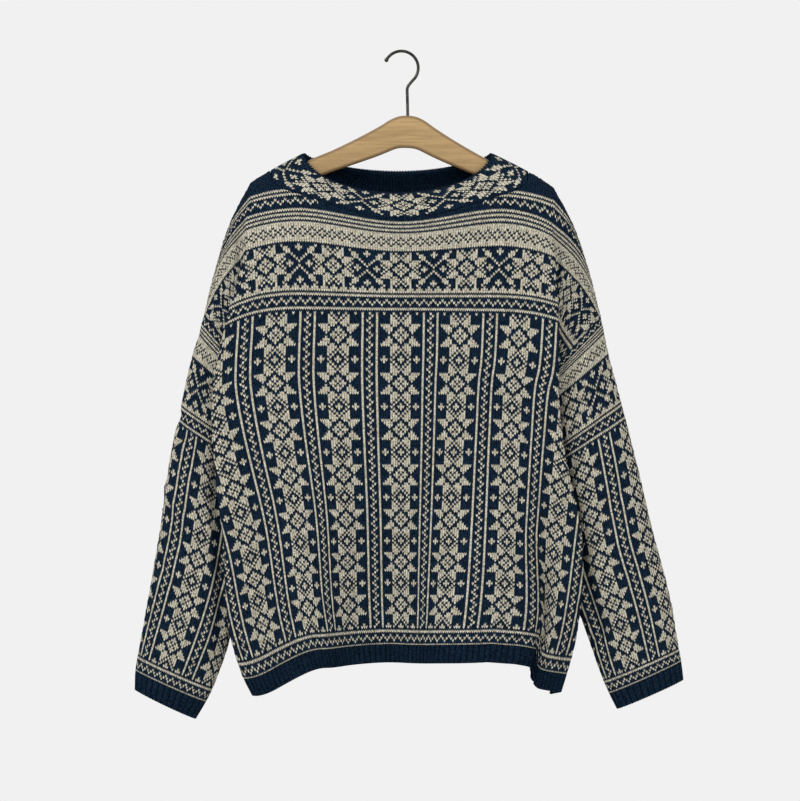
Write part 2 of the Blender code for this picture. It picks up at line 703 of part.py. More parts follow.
def build_hook(collection):
    curve = bpy.data.curves.new("hook_wire", "CURVE")
    curve.dimensions = "3D"
    curve.bevel_depth = WIRE_RADIUS * MM
    curve.bevel_resolution = 2
    curve.use_fill_caps = True
    route = hook_route()
    line = curve.splines.new("POLY")
    line.points.add(len(route) - 1)
    for point, (x, z) in zip(line.points, route):
        point.co = (x * MM, 0.0, z * MM, 1.0)
    obj = bpy.data.objects.new("hanger_hook", curve)
    collection.objects.link(obj)
    place(obj, collection, cloth_material("hanger_hook", STEEL, 0.35))
    obj.data.materials[0].node_tree.nodes["Principled BSDF"].inputs["Metallic"].default_value = 1.0


def main():
    for obj in list(bpy.data.objects):
        bpy.data.objects.remove(obj, do_unlink=True)
    sweater = bpy.data.collections.new("sweater_on_hanger")
    bpy.context.scene.collection.children.link(sweater)
    build_cloth(sweater)
    build_neckband(sweater)
    build_hanger(sweater)
    build_hook(sweater)


main()
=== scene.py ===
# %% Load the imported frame
import json
import math
from collections import namedtuple

import bpy
import numpy as np
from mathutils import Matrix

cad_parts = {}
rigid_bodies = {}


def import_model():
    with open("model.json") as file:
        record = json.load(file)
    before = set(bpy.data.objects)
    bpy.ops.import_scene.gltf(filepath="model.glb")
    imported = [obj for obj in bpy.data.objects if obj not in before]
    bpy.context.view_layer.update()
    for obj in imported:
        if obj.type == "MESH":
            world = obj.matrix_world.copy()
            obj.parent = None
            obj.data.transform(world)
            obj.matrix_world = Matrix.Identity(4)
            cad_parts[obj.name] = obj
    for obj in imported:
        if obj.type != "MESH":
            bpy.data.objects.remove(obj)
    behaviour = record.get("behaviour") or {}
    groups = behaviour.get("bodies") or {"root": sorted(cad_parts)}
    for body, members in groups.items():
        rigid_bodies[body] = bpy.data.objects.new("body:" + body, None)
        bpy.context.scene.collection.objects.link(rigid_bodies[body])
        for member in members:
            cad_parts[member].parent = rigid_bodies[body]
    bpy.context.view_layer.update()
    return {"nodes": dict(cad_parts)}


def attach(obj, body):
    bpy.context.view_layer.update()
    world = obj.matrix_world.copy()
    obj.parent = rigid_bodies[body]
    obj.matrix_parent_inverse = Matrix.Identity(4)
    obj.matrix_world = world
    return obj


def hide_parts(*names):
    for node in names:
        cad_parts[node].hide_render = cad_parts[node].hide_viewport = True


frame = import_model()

print("nodes:", sorted(frame["nodes"]))

# %% [markdown]
# # A knitted sweater on a wooden hanger
#
# The frame holds plain solids in the right places. This lesson dresses them: it
# knits the sweater stitch by stitch, and then gives the hanger its wood and
# steel. Lengths in the tables are millimetres; X runs to the wearer's left, Y to
# the back and Z up, and the origin is where a rail carries the hook.
#
# A knitted cloth is a grid. Its columns are stitches and its rows are the rows
# that the needles made, so every piece here is a grid whose points are moved
# onto the hanging form. First come the form's tables. The columns are named for
# what they measure, and each row of a table is one height of the sweater.

# %% The hanging form of the body
def table(kind, rows):
    """The rows of a table, with the columns' names."""
    return [kind(*row) for row in rows]


MM = 0.001
WALL = 2.6
SIDE_STITCH = 109.0
HEM_ROW = -8.0
UNDERARM_ROW = 128.0
SHOULDER_ROW = 212.0
SHOULDER_SLOPE_ROWS = 18.0
NECK_STITCH = 52.0
ROW_HEIGHT = 2.6
FRONT_NECK_ROW = 194.0
BACK_NECK_ROW = 205.0
SCOOP_POWER = 0.7
OVER_NECK_RISE = 0.6

SHOULDER_ROUND = 16.0
SHOULDER_ROUND_DROP = 6.0
BODY_SWELL = 29.0
BODY_SWELL_DROP = 70.0
FOLD_RADIUS = 6.5
FOLD_STITCHES = 4.0
FOLD_SWELL = 5.0
FOLD_SWELL_ROWS = (30.0, 90.0, 155.0, 195.0)
FOLD_GAP_ROWS = 6.0
LEG_GAP_ROWS = 8.0
LEG_SHARE = 0.1
HEM_OPEN_ROW = 60.0
FOLD_FADE_ROWS = 30.0
CROWD_FADE = 0.7
MID_SHARE = 0.72
DROOP_START = 0.5
HEM_EXTRA_DEPTH = 0.12
HEM_EDGE_LOSS = 0.5
TUCKED_RISE = 0.45
TUCKED_POWER = 2.5
BEHIND_START = 0.15
BEHIND_SPAN = 0.5
UNDERARM_TUCK = 6.0
UNDERARM_TUCK_START = 0.12
UNDERARM_FADE_ROWS = 28.0
HUMP_POWER = 0.85
SHOULDER_BULGE = 13.0
BULGE_START = 0.3
BULGE_SPAN = 0.6
BULGE_OUT = 0.85
BULGE_UP = 0.4
NeckSwell = namedtuple("NeckSwell", "depth x_width centre_z z_width")
NECK_SWELL = NeckSwell(6.0, 95.0, -215.0, 55.0)
SHOULDER_TURN = 210.0
FRONT_TURN_POWER = 0.85
BACK_TURN_POWER = 0.9

BodySection = namedtuple(
    "BodySection",
    "row centre_z right_mid_z left_mid_z right_x right_z right_stitch"
    " left_x left_z left_stitch right_seam_x left_seam_x seam_z",
)
BODY = table(BodySection, [
    (-8, -792, -796, -787, -193, -836, 98, 208, -831, 98, -182, 197, -836),
    (0, -769, -773, -764, -204, -814, 98, 215, -808, 98, -190, 203, -814),
    (18, -717, -719, -714, -222, -756, 97, 229, -751, 97, -199, 207, -764),
    (58, -607, -607, -607, -230, -640, 90, 235, -635, 92, -176, 180, -655),
    (98, -491, -491, -491, -243, -519, 82, 211, -514, 78, -158, 154, -535),
    (120, -426, -425, -427, -244, -449, 78, 204, -446, 73, -160, 157, -466),
    (128, -401, -400, -403, -241, -425, 77, 204, -422, 71, -172, 168, -443),
    (149, -336, -334, -337, -228, -356, 74, 204, -350, 69, -172, 168, -400),
    (178, -260, -246, -252, -202, -259, 64, 199, -267, 65, -172, 168, -350),
    (192, -225, -206, -207, -200, -218, 62, 196, -226, 61, -172, 168, -320),
    (200, -204, -183, -185, -196, -194, 60, 198, -199, 62, -172, 168, -300),
    (212, -168, -147, -150, -196, -164, 60, 198, -168, 62, -172, 168, -280),
])

Flute = namedtuple("Flute", "stitch forward width top_row")
FRONT_FLUTES = table(Flute, [
    (-76, -7, 8, 90), (-50, 27, 19, 115), (-9, -24, 16, 120),
    (44, 25, 20, 112), (73, -14, 6, 92), (87, 7, 8, 80),
])
BACK_FLUTES = table(Flute, [
    (-82, -9, 8, 95), (-58, 22, 16, 110), (-22, -20, 15, 122),
    (16, 21, 17, 104), (50, -17, 14, 118), (80, 14, 11, 100),
])
Crowding = namedtuple("Crowding", "stitch shift width")
CROWDING = table(Crowding, [(-27, -9, 13), (25, -7, 12), (54, 8, 14)])
HEM_CROWD = Crowding(68, 17, 10)
HEM_STEP_ROWS = 60.0
HEM_STEP = ([0.5, 0.62, 0.745, 0.775, 0.83, 1.0], [0.0, 0.1, 0.28, 0.74, 0.84, 1.0])

SleeveSection = namedtuple("SleeveSection", "outer_x outer_z inner_x inner_z half_depth")
RIGHT_SLEEVE = table(SleeveSection, [
    (-256, -341, -172, -443, 28), (-269, -385, -178, -469, 28),
    (-285, -453, -181, -525, 28), (-300, -525, -189, -586, 28),
    (-313, -616, -202, -670, 26), (-328, -705, -219, -752, 23),
    (-343, -787, -246, -830, 20), (-346, -805, -254, -846, 19),
    (-347, -830, -267, -868, 17),
])
LEFT_SLEEVE = table(SleeveSection, [
    (260, -344, 168, -443, 28), (269, -388, 174, -469, 28),
    (285, -450, 178, -526, 28), (305, -527, 190, -588, 28),
    (326, -616, 212, -670, 26), (350, -709, 242, -757, 23),
    (362, -777, 264, -819, 20), (365, -793, 271, -835, 19),
    (368, -817, 281, -855, 17),
])
COLLAR_LIFT = 1.0
COLLAR_STAND = 15.0
COLLAR_LEAN = 0.86
COLLAR_SIDE_RISE = 0.5
COLLAR_TOP = {"half_width": 122.0, "centre_x": -4.5, "side_z": -131.0,
              "front_drop": 52.5, "back_drop": 22.0, "front_y": -19.0, "back_y": 17.0,
              "front_power": 1.1, "back_power": 1.6, "y_power": 0.35}
print("sweater rows", BODY[0].row, "to", BODY[-1].row)


# %% [markdown]
# The tables become a surface through a few small functions. `table_curve` draws
# a smooth line through a short table, as a curve ruler does on paper. The panel
# is then written as a point for each stitch and row: a wall that swells away
# from the hanger, soft drape folds (flutes) that open towards the hem, a sharp
# fold down each side, and the tucked cloth behind it that leads to the armhole.

# %% Curves through short tables
def smooth_step(value):
    value = np.clip(value, 0.0, 1.0)
    return value * value * (3.0 - 2.0 * value)


def bell(offset, width):
    return np.exp(-(offset / width) ** 2)


def table_curve(stations, values, wanted):
    stations = np.asarray(stations, float)
    values = np.asarray(values, float)
    steps = np.diff(values) / np.diff(stations)
    slopes = np.empty_like(values)
    slopes[1:-1] = (steps[:-1] + steps[1:]) / 2.0
    slopes[0] = steps[0]
    slopes[-1] = steps[-1]
    wanted = np.clip(wanted, stations[0], stations[-1])
    index = np.clip(np.searchsorted(stations, wanted, "right") - 1, 0, len(stations) - 2)
    span = stations[index + 1] - stations[index]
    t = (wanted - stations[index]) / span
    start = values[index] * (1 + 2 * t) * (1 - t) ** 2 + slopes[index] * span * t * (1 - t) ** 2
    end = values[index + 1] * t * t * (3 - 2 * t) - slopes[index + 1] * span * t * t * (1 - t)
    return start + end


def arc_lengths(points):
    """How far along its line each point lies."""
    steps = np.linalg.norm(np.diff(points, axis=0), axis=1)
    return np.concatenate([[0.0], np.cumsum(steps)])


def body_value(name, row):
    return table_curve([s.row for s in BODY], [getattr(s, name) for s in BODY], row)


def side_value(name, stitch, row):
    """A value of the body's table, from the right or left side as the stitch is."""
    return np.where(stitch < 0, body_value("right_" + name, row), body_value("left_" + name, row))


def shoulder_drop(across):
    return SHOULDER_SLOPE_ROWS * (across - NECK_STITCH) / (SIDE_STITCH - NECK_STITCH)


def top_row(stitch, neck_row):
    """The row where a panel ends, in the neck's scoop or on the shoulder's slope."""
    across = np.abs(stitch)
    scoop = np.sqrt(np.clip(1.0 - (across / NECK_STITCH) ** 2, 0.0, 1.0))
    neck = SHOULDER_ROW - (SHOULDER_ROW - neck_row) * scoop ** SCOOP_POWER
    return np.where(across > NECK_STITCH, SHOULDER_ROW - shoulder_drop(across), neck)


def shoulder_line_row(stitch):
    """The shoulder's line, carried on over the neck."""
    across = np.abs(stitch)
    over_neck = OVER_NECK_RISE * (NECK_STITCH - across)
    return SHOULDER_ROW + np.where(across > NECK_STITCH, -shoulder_drop(across), over_neck)


print("neck starts at row", top_row(np.array([0.0]), FRONT_NECK_ROW)[0])


# %% The flat of a panel, with its drape folds
def wall_point(stitch, row, flutes, face):
    across = np.abs(stitch)
    edge, edge_x, edge_z, mid_z = (side_value(name, stitch, row)
                                   for name in ("stitch", "x", "z", "mid_z"))
    share = np.clip(across / edge, 0.0, 1.0)
    hem_share = smooth_step((UNDERARM_ROW - row) / (UNDERARM_ROW - HEM_ROW))
    x = edge_x * share
    fade = 1.0 - smooth_step((across / edge - CROWD_FADE) / (1.0 - CROWD_FADE))
    for fold in CROWDING:
        x = x + hem_share * fade * fold.shift * bell(stitch - fold.stitch, fold.width)
    outer = np.clip((share - DROOP_START) / (1.0 - DROOP_START), 0.0, 1.0)
    droop = (1.0 - hem_share) * outer ** 3 + hem_share * smooth_step(outer)
    step = smooth_step((HEM_STEP_ROWS - row) / HEM_STEP_ROWS) * (stitch >= 0)
    droop = droop + step * (np.interp(share, *HEM_STEP) - droop)
    x = x + step * HEM_CROWD.shift * bell(stitch - HEM_CROWD.stitch, HEM_CROWD.width)
    centre_z = body_value("centre_z", row)
    z = centre_z + (mid_z - centre_z) * smooth_step(share / MID_SHARE) + (edge_z - mid_z) * droop
    below = np.clip((shoulder_line_row(stitch) - row) * ROW_HEIGHT, 0.0, None)
    depth = SHOULDER_ROUND * np.sqrt(1.0 - np.exp(-below / SHOULDER_ROUND_DROP))
    depth = depth + BODY_SWELL * (1.0 - np.exp(-below / BODY_SWELL_DROP))
    depth = depth * (1.0 + HEM_EXTRA_DEPTH * hem_share - HEM_EDGE_LOSS * hem_share * share ** 4)
    depth = depth + (NECK_SWELL.depth * bell(x, NECK_SWELL.x_width)
                     * bell(z - NECK_SWELL.centre_z, NECK_SWELL.z_width))
    start, full, fading, gone = FOLD_SWELL_ROWS
    risen = smooth_step((row - start) / (full - start))
    beside = risen * smooth_step((gone - row) / (gone - fading))
    depth = depth + FOLD_SWELL * beside * share ** 4
    for flute in flutes:
        grown = smooth_step((flute.top_row - row) / flute.top_row)
        depth = depth + grown * flute.forward * bell(stitch - flute.stitch, flute.width)
    turn = np.clip((across - (edge - FOLD_STITCHES)) / FOLD_STITCHES, 0.0, 1.0)
    crease = smooth_step((SHOULDER_ROW - FOLD_GAP_ROWS - row) / FOLD_FADE_ROWS)
    depth = depth - crease * FOLD_RADIUS * (1.0 - np.sqrt(1.0 - turn ** 2))
    return np.stack([x, face * depth, z], axis=-1)

# %% The sleeve's tube and the armhole
def sleeve_stations(sections):
    return arc_lengths([[(s.outer_x + s.inner_x) / 2, (s.outer_z + s.inner_z) / 2]
                        for s in sections])


def sleeve_point(sections, angle, along):
    stations = sleeve_stations(sections)
    outer_x, outer_z, inner_x, inner_z, depth = (
        table_curve(stations, [getattr(s, name) for s in sections], along)
        for name in SleeveSection._fields
    )
    turn = np.radians(angle)
    across = np.cos(turn)
    x = (outer_x + inner_x) / 2 + (inner_x - outer_x) / 2 * across
    z = (outer_z + inner_z) / 2 + (inner_z - outer_z) / 2 * across
    return np.stack([x, -depth * np.sin(turn), z], axis=-1)


def armhole_point(sections, rise, face):
    turn = SHOULDER_TURN * rise ** FRONT_TURN_POWER
    if face > 0:
        turn = 360.0 - (360.0 - SHOULDER_TURN) * rise ** BACK_TURN_POWER
    return sleeve_point(sections, turn, np.zeros_like(turn))


print("sleeve lengths to the wrist:", sleeve_stations(RIGHT_SLEEVE)[7].round(),
      sleeve_stations(LEFT_SLEEVE)[7].round(), "mm")


# %% The cloth behind the side fold
def side_point(stitch, row, flutes, face):
    wearer_right = stitch < 0
    sign = np.where(wearer_right, -1.0, 1.0)
    edge = side_value("stitch", stitch, row)
    past = np.clip((np.abs(stitch) - edge) / (SIDE_STITCH - edge), 0.0, 1.0)
    last = top_row(stitch, FRONT_NECK_ROW)
    rise = np.clip((row - UNDERARM_ROW) / (last - UNDERARM_ROW), 0.0, 1.0)
    edge_rise = rise * (top_row(sign * edge, FRONT_NECK_ROW) - UNDERARM_ROW)
    fold_row = np.where(row > UNDERARM_ROW, UNDERARM_ROW + edge_rise, row)
    fold = wall_point(sign * side_value("stitch", stitch, fold_row), fold_row, flutes, face)
    seam_x = side_value("seam_x", stitch, row)
    seam = np.stack([seam_x, np.zeros_like(seam_x), body_value("seam_z", row)], axis=-1)
    hole = np.where(wearer_right[..., None], armhole_point(RIGHT_SLEEVE, rise, face),
                    armhole_point(LEFT_SLEEVE, rise, face))
    end = np.where((row > UNDERARM_ROW)[..., None], hole, seam)
    tucked = 1.0 - smooth_step(rise / TUCKED_RISE)
    open_hem = smooth_step((HEM_OPEN_ROW - row) / HEM_OPEN_ROW)
    behind = smooth_step((past - BEHIND_START) / BEHIND_SPAN)
    ease_x = past + tucked * (past - past ** 2)
    ease_y = behind + tucked * (past ** TUCKED_POWER - behind)
    ease_x = ease_x + open_hem * (smooth_step(past) - ease_x)
    ease_y = ease_y + open_hem * (past - ease_y)
    creased = smooth_step((SHOULDER_ROW - LEG_GAP_ROWS - row) / FOLD_FADE_ROWS) * (1.0 - open_hem)
    leg_y = fold[..., 1] - face * creased * FOLD_RADIUS * smooth_step(past / LEG_SHARE)
    x = fold[..., 0] + (end[..., 0] - fold[..., 0]) * ease_x
    y = leg_y + (end[..., 1] - leg_y) * ease_y
    z = fold[..., 2] + (end[..., 2] - fold[..., 2]) * past
    under = smooth_step((row - UNDERARM_ROW + UNDERARM_FADE_ROWS) / UNDERARM_FADE_ROWS)
    arc = UNDERARM_TUCK_START + (1.0 - UNDERARM_TUCK_START) * rise
    tuck = UNDERARM_TUCK * np.sin(np.pi * arc) * under
    x = x - sign * tuck * np.sin(np.pi * past ** HUMP_POWER)
    swell = SHOULDER_BULGE * np.sin(np.pi * past) * smooth_step((rise - BULGE_START) / BULGE_SPAN)
    x = x + sign * swell * BULGE_OUT
    z = z + swell * BULGE_UP
    return np.stack([x, y, z], axis=-1)


def panel_point(stitch, row, flutes, face):
    past_fold = (np.abs(stitch) > side_value("stitch", stitch, row))[..., None]
    flat = wall_point(stitch, row, flutes, face)
    return np.where(past_fold, side_point(stitch, row, flutes, face), flat)


# %% The collar stands on the neck edge
def collar_base(angle):
    turn = np.radians(angle)
    wanted = NECK_STITCH * np.cos(turn)
    stitch = np.linspace(-NECK_STITCH, NECK_STITCH, 209)
    front = panel_point(stitch, top_row(stitch, FRONT_NECK_ROW), FRONT_FLUTES, -1.0)
    back = panel_point(stitch, top_row(stitch, BACK_NECK_ROW), BACK_FLUTES, 1.0)
    front, back = (np.stack([np.interp(wanted, stitch, values) for values in edge.T], axis=-1)
                   for edge in (front, back))
    return np.where((np.sin(turn) > 0)[..., None], back, front)


def collar_top(angle):
    top = COLLAR_TOP
    turn = np.radians(angle)
    back = np.sin(turn) > 0
    rise = np.abs(np.sin(turn))
    x = top["centre_x"] + top["half_width"] * np.cos(turn)
    y = np.where(back, top["back_y"], top["front_y"]) * rise ** top["y_power"]
    drop = np.where(back, top["back_drop"] * rise ** top["back_power"],
                    top["front_drop"] * rise ** top["front_power"])
    return np.stack([x, y, top["side_z"] - drop], axis=-1)


def collar_point(angle, height):
    turn = np.radians(angle)
    side = np.abs(np.cos(turn))
    middle = np.abs(np.sin(turn))
    stand = np.stack([-COLLAR_LEAN * np.cos(turn), 0 * turn, COLLAR_SIDE_RISE * side + middle],
                     axis=-1)
    base = collar_base(angle) + stand * COLLAR_LIFT
    lower = base + stand * COLLAR_STAND
    share = np.asarray(height)[..., None]
    start = base + (lower - base) * share
    end = lower + (collar_top(angle) - lower) * share
    return start + (end - start) * share


# %% [markdown]
# ## Charts
#
# A knitter reads the pattern from a chart: a grid in which a mark is a stitch in
# the light wool. The stars, zigzags and small crosses here are traditional ones,
# and each is symmetric, so a quarter of it is enough. The charts could be drawn
# as an image, but typed rows of `#` and `.` are easier to read and change, and
# they stay sharp at any size. Each row below starts in the middle of a star and
# runs outwards, and the first row is the star's middle row.

# %% The star column of the body and sleeves
def read_chart(lines):
    return np.array([[mark == "#" for mark in line] for line in lines])


STAR_COLUMN = read_chart([
    ".###......#...",
    "#.#..#....#...",
    "##..###...#...",
    "#...####..#...",
    "..##.####.#...",
    ".####.....#...",
    "#.###.....#...",
    ".#.##.....#...",
    "..#.#.....#...",
    "#..#...#..#...",
    "##..#.###.#...",
])
STAR_BAND = read_chart([
    ".###..#..###...",
    "#.#..#.#..#...#",
    "##..###.#....#.",
    "#...####....#..",
    "..##.####..#...",
    ".####....##....",
    "#.###...###...#",
    ".#.##...##...##",
    "..#.#..#......#",
])
COLUMN_WIDTH = 26
COLUMN_REPEAT = 20
FIRST_STAR_ROW = 18
BAND_WIDTH = 28
ZIGZAG_UP = np.array([12, 13, 14, 13])


def column_marks(stitch, row):
    """Stars one above another, a fine line each side, and an upright zigzag between."""
    across = np.abs((stitch + COLUMN_WIDTH // 2) % COLUMN_WIDTH - COLUMN_WIDTH // 2)
    half = COLUMN_REPEAT // 2
    up = np.abs((row - FIRST_STAR_ROW + half) % COLUMN_REPEAT - half)
    zigzag = stitch % COLUMN_WIDTH == ZIGZAG_UP[row % 4]
    return STAR_COLUMN[up, across] | zigzag


def band_marks(stitch, rows_off):
    """Stars side by side with a crossed net between them."""
    across = np.abs((stitch + BAND_WIDTH // 2) % BAND_WIDTH - BAND_WIDTH // 2)
    inside = np.abs(rows_off) < len(STAR_BAND)
    return STAR_BAND[np.minimum(np.abs(rows_off), len(STAR_BAND) - 1), across] & inside


print("stitches in a star column:", COLUMN_WIDTH, "and in a band's repeat:", BAND_WIDTH)

# %% [markdown]
# Round the yoke and above the ribs run narrow bands: single stripes, a small
# zigzag, a row of teeth, and a cream band with a dark net. They are all short
# repeats of four stitches, so each gets a small chart of its own, and a list
# says at which row each one starts. The body's yoke and the sleeve's top have
# the same bands, counted from the row where the star columns end.

# %% Narrow bands
FOUR_STITCH_CHARTS = {
    "stripe": ["####"],
    "zigzag": ["#...", ".#.#", "..#."],
    "teeth": ["####", "##.#", "#..."],
    "cream_net": ["####", "####", ".###", "#.#.", "##.#", "#.#.", ".###", "####", "####"],
}
Band = namedtuple("Band", "row chart")
LOW_BANDS = [(0, "stripe"), (2, "zigzag"), (6, "stripe")]
YOKE_BANDS = [
    (0, "stripe"), (2, "zigzag"), (6, "stripe"), (8, "teeth"), (29, "cream_net"),
    (39, "stripe"), (41, "stripe"), (43, "stripe"),
]
FIRST_COLUMN_ROW = 8
BODY_YOKE_ROW = 149
SLEEVE_YOKE_ROW = 109
YOKE_STAR_ROWS = 19


def all_bands(yoke_row, last):
    """The bands of a piece, lowest first: hem, yoke, and its own last ones."""
    high = [(yoke_row + row, chart) for row, chart in YOKE_BANDS]
    return table(Band, LOW_BANDS + high + last)


BODY_BANDS = all_bands(BODY_YOKE_ROW, [(195, "zigzag"), (199, "stripe"), (201, "stripe")])
SLEEVE_BANDS = all_bands(SLEEVE_YOKE_ROW, [(154, "zigzag")])


def chart_marks(stitch, row, bands, yoke_row):
    """1 where a stitch is cream and 0 where it is navy."""
    marks = band_marks(stitch, row - yoke_row - YOKE_STAR_ROWS)
    in_columns = (row >= FIRST_COLUMN_ROW) & (row < yoke_row - 1)
    marks = np.where(in_columns, column_marks(stitch, row), marks)
    for band in bands:
        chart = read_chart(FOUR_STITCH_CHARTS[band.chart])
        off = row - band.row
        inside = (off >= 0) & (off < len(chart))
        marks = np.where(inside, chart[np.clip(off, 0, len(chart) - 1), stitch % 4], marks)
    return marks.astype(float)


def body_marks(stitch, row):
    return chart_marks(stitch, row, BODY_BANDS, BODY_YOKE_ROW)


def sleeve_marks(stitch, row):
    return chart_marks(stitch, row, SLEEVE_BANDS, SLEEVE_YOKE_ROW)


test_stitch, test_row = np.meshgrid(np.arange(-109, 110), np.arange(0, 212))
print("share of cream stitches on the body:", body_marks(test_stitch, test_row).mean().round(2))

# %% [markdown]
# ## Wool
#
# Seen close, each knit stitch is a small V of two rounded legs. The grid gives
# the V, and a bump gives the roundness of the legs. Dyed wool is never one flat
# colour: fibres of a lighter and a darker blue lie side by side (a heather), and
# the cream has oat-coloured flecks. So both yarns mix two tones with fine noise,
# and a faint sheen stands for the fuzz. An image texture could do all this too,
# but nodes stay sharp and need no file.
#
# Writing such a material as Python expressions keeps it short. `Socket` wraps
# one output, and `a * b` adds the Math node for it.

# %% A small class for shader maths
class Socket:
    def __init__(self, tree, output):
        self.tree = tree
        self.output = output

    def node(self, kind, settings=None, output=0, **inputs):
        """One output of a new node: first its settings, then its inputs, values or sockets."""
        node = self.tree.nodes.new(kind)
        for key, value in (settings or {}).items():
            setattr(node, key, value)
        for key, value in inputs.items():
            slot = node.inputs[int(key[1:]) if key[1:].isdigit() else key.replace("_", " ")]
            if isinstance(value, Socket):
                self.tree.links.new(value.output, slot)
            else:
                slot.default_value = value
        return Socket(self.tree, node.outputs[output])

    def math(self, operation, *values):
        inputs = {f"_{i}": value for i, value in enumerate(values)}
        return self.node("ShaderNodeMath", {"operation": operation}, **inputs)

    def __add__(self, other):
        return self.math("ADD", self, other)

    def __radd__(self, other):
        return self.math("ADD", other, self)

    def __sub__(self, other):
        return self.math("SUBTRACT", self, other)

    def __rsub__(self, other):
        return self.math("SUBTRACT", other, self)

    def __mul__(self, other):
        return self.math("MULTIPLY", self, other)

    def __rmul__(self, other):
        return self.math("MULTIPLY", other, self)

    def fraction(self):
        return self.math("FRACT", self)

    def sine(self):
        return self.math("SINE", self)

    def between(self, low, high):
        """0 below low and 1 above high, with a straight ramp between."""
        return self.node("ShaderNodeMapRange", {"clamp": True}, Value=self, From_Min=low,
                         From_Max=high)

    def colour(self, dark, light):
        """This value as the share of light in a mix of two colours."""
        dark, light = (end if isinstance(end, Socket) else (*end, 1.0) for end in (dark, light))
        return self.node("ShaderNodeMix", {"data_type": "RGBA"}, 2, _0=self, _6=dark, _7=light)


def new_material(name, roughness, **constants):
    """A Principled material, its tree's first socket, and its shader."""
    material = bpy.data.materials.new(name)
    material.use_nodes = True
    tree = material.node_tree
    shader = tree.nodes["Principled BSDF"]
    shader.inputs["Roughness"].default_value = roughness
    for key, value in constants.items():
        shader.inputs[key.replace("_", " ")].default_value = value
    place = Socket(tree, tree.nodes.new("ShaderNodeTexCoord").outputs["Object"])
    return material, place, shader


def feed(shader, key, socket):
    socket.tree.links.new(socket.output, shader.inputs[key])


def noise(place, scale, detail=2.0, stretch=(1.0, 1.0, 1.0), shift=0.0):
    """Soft noise at so many lumps a metre, stretched along an axis if wanted."""
    mapped = place.node("ShaderNodeMapping", Vector=place, Scale=stretch, Location=(shift,) * 3)
    return place.node("ShaderNodeTexNoise", None, "Fac", Vector=mapped, Scale=scale, Detail=detail)


# %% The two wools
NAVY_DARK = (0.0010, 0.0038, 0.0100)
NAVY_LIGHT = (0.0105, 0.0270, 0.0520)
CREAM_DARK = (0.25, 0.222, 0.16)
CREAM_LIGHT = (0.73, 0.685, 0.545)
GROOVE_SHADE = (0.10, 0.115, 0.15, 1.0)
LEG_GROOVE = 0.25
STITCH_GROOVE = 0.4
LOOP_GROOVE = 0.35
FUZZ_SCALE = 900.0
TONE_SCALE = 380.0
STITCH_RELIEF = 0.0009


def shade_of(colour):
    """The same colour at about an eighth of its strength, as painted shade in the grooves."""
    return colour.node("ShaderNodeMix", {"data_type": "RGBA", "blend_type": "MULTIPLY"}, 2,
                       _0=1.0, _6=colour, _7=GROOVE_SHADE)


def wool_material():
    material, place, shader = new_material("knit_wool", 0.92, Specular_IOR_Level=0.03,
                                           Sheen_Weight=0.005, Sheen_Roughness=0.5)
    cream = place.node("ShaderNodeAttribute", {"attribute_name": "cream"}, "Fac")
    fuzz = noise(place, FUZZ_SCALE, 3.0)
    tone = noise(place, TONE_SCALE, 2.0, shift=0.3)
    fleck = (fuzz * 0.5 + tone * 0.5).between(0.38, 0.62)
    navy = fleck.colour(NAVY_DARK, NAVY_LIGHT)
    yarn = cream.colour(navy, fleck.colour(CREAM_DARK, CREAM_LIGHT))
    across = place.node("ShaderNodeSeparateXYZ", Vector=place.node("ShaderNodeUVMap"))
    up = Socket(place.tree, across.output.node.outputs["Y"])
    leg, stitch, loop = ((turns.fraction() * math.pi).sine()
                         for turns in (across * 2.0, across + 0.5, up))
    groove = leg.between(0.0, 0.7) * LEG_GROOVE + stitch.between(0.0, 0.75) * STITCH_GROOVE
    groove = groove + loop.between(0.0, 0.7) * LOOP_GROOVE
    # Painted shade: the yarn's colour darkens towards the grooves between legs, stitches and rows.
    feed(shader, "Base Color", (1.0 - groove.between(0.38, 1.0)).colour(yarn, shade_of(yarn)))
    feed(shader, "Roughness", fuzz.between(0.0, 1.0) * 0.1 + 0.86)
    feed(shader, "Normal", place.node("ShaderNodeBump", Height=groove + fuzz * 0.5, Strength=0.6,
                                      Distance=STITCH_RELIEF))
    return material


knit_wool = wool_material()
print("wool material nodes:", len(knit_wool.node_tree.nodes))

# %% [markdown]
# ## From a grid to a knitted piece
#
# Each piece starts as Blender's grid primitive with two faces for each stitch.
# The middle of every stitch is lowered by most of a row, which turns the two
# faces into the legs of a V. The grid carries a chart mark on each face and UV
# coordinates counted in stitches and rows. Where a neck or shoulder cuts a row
# off, the points above it are pulled down to the edge, and merging by distance
# then removes what has no size. The same merge closes a tube.

# %% Grids that carry a chart
V_DROP = 0.85


def deselect_all():
    if bpy.context.mode != "OBJECT":
        bpy.ops.object.mode_set(mode="OBJECT")
    bpy.ops.object.select_all(action="DESELECT")


def join(first, second):
    """Make the second piece part of the first."""
    deselect_all()
    second.select_set(True)
    first.select_set(True)
    bpy.context.view_layer.objects.active = first
    bpy.ops.object.join()
    return first


def dress(piece, node):
    """Put a piece on the frame's root body and hide the solid that it stands for."""
    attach(piece, "root")
    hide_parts(node)
    print(piece.name, len(piece.data.polygons), "faces")


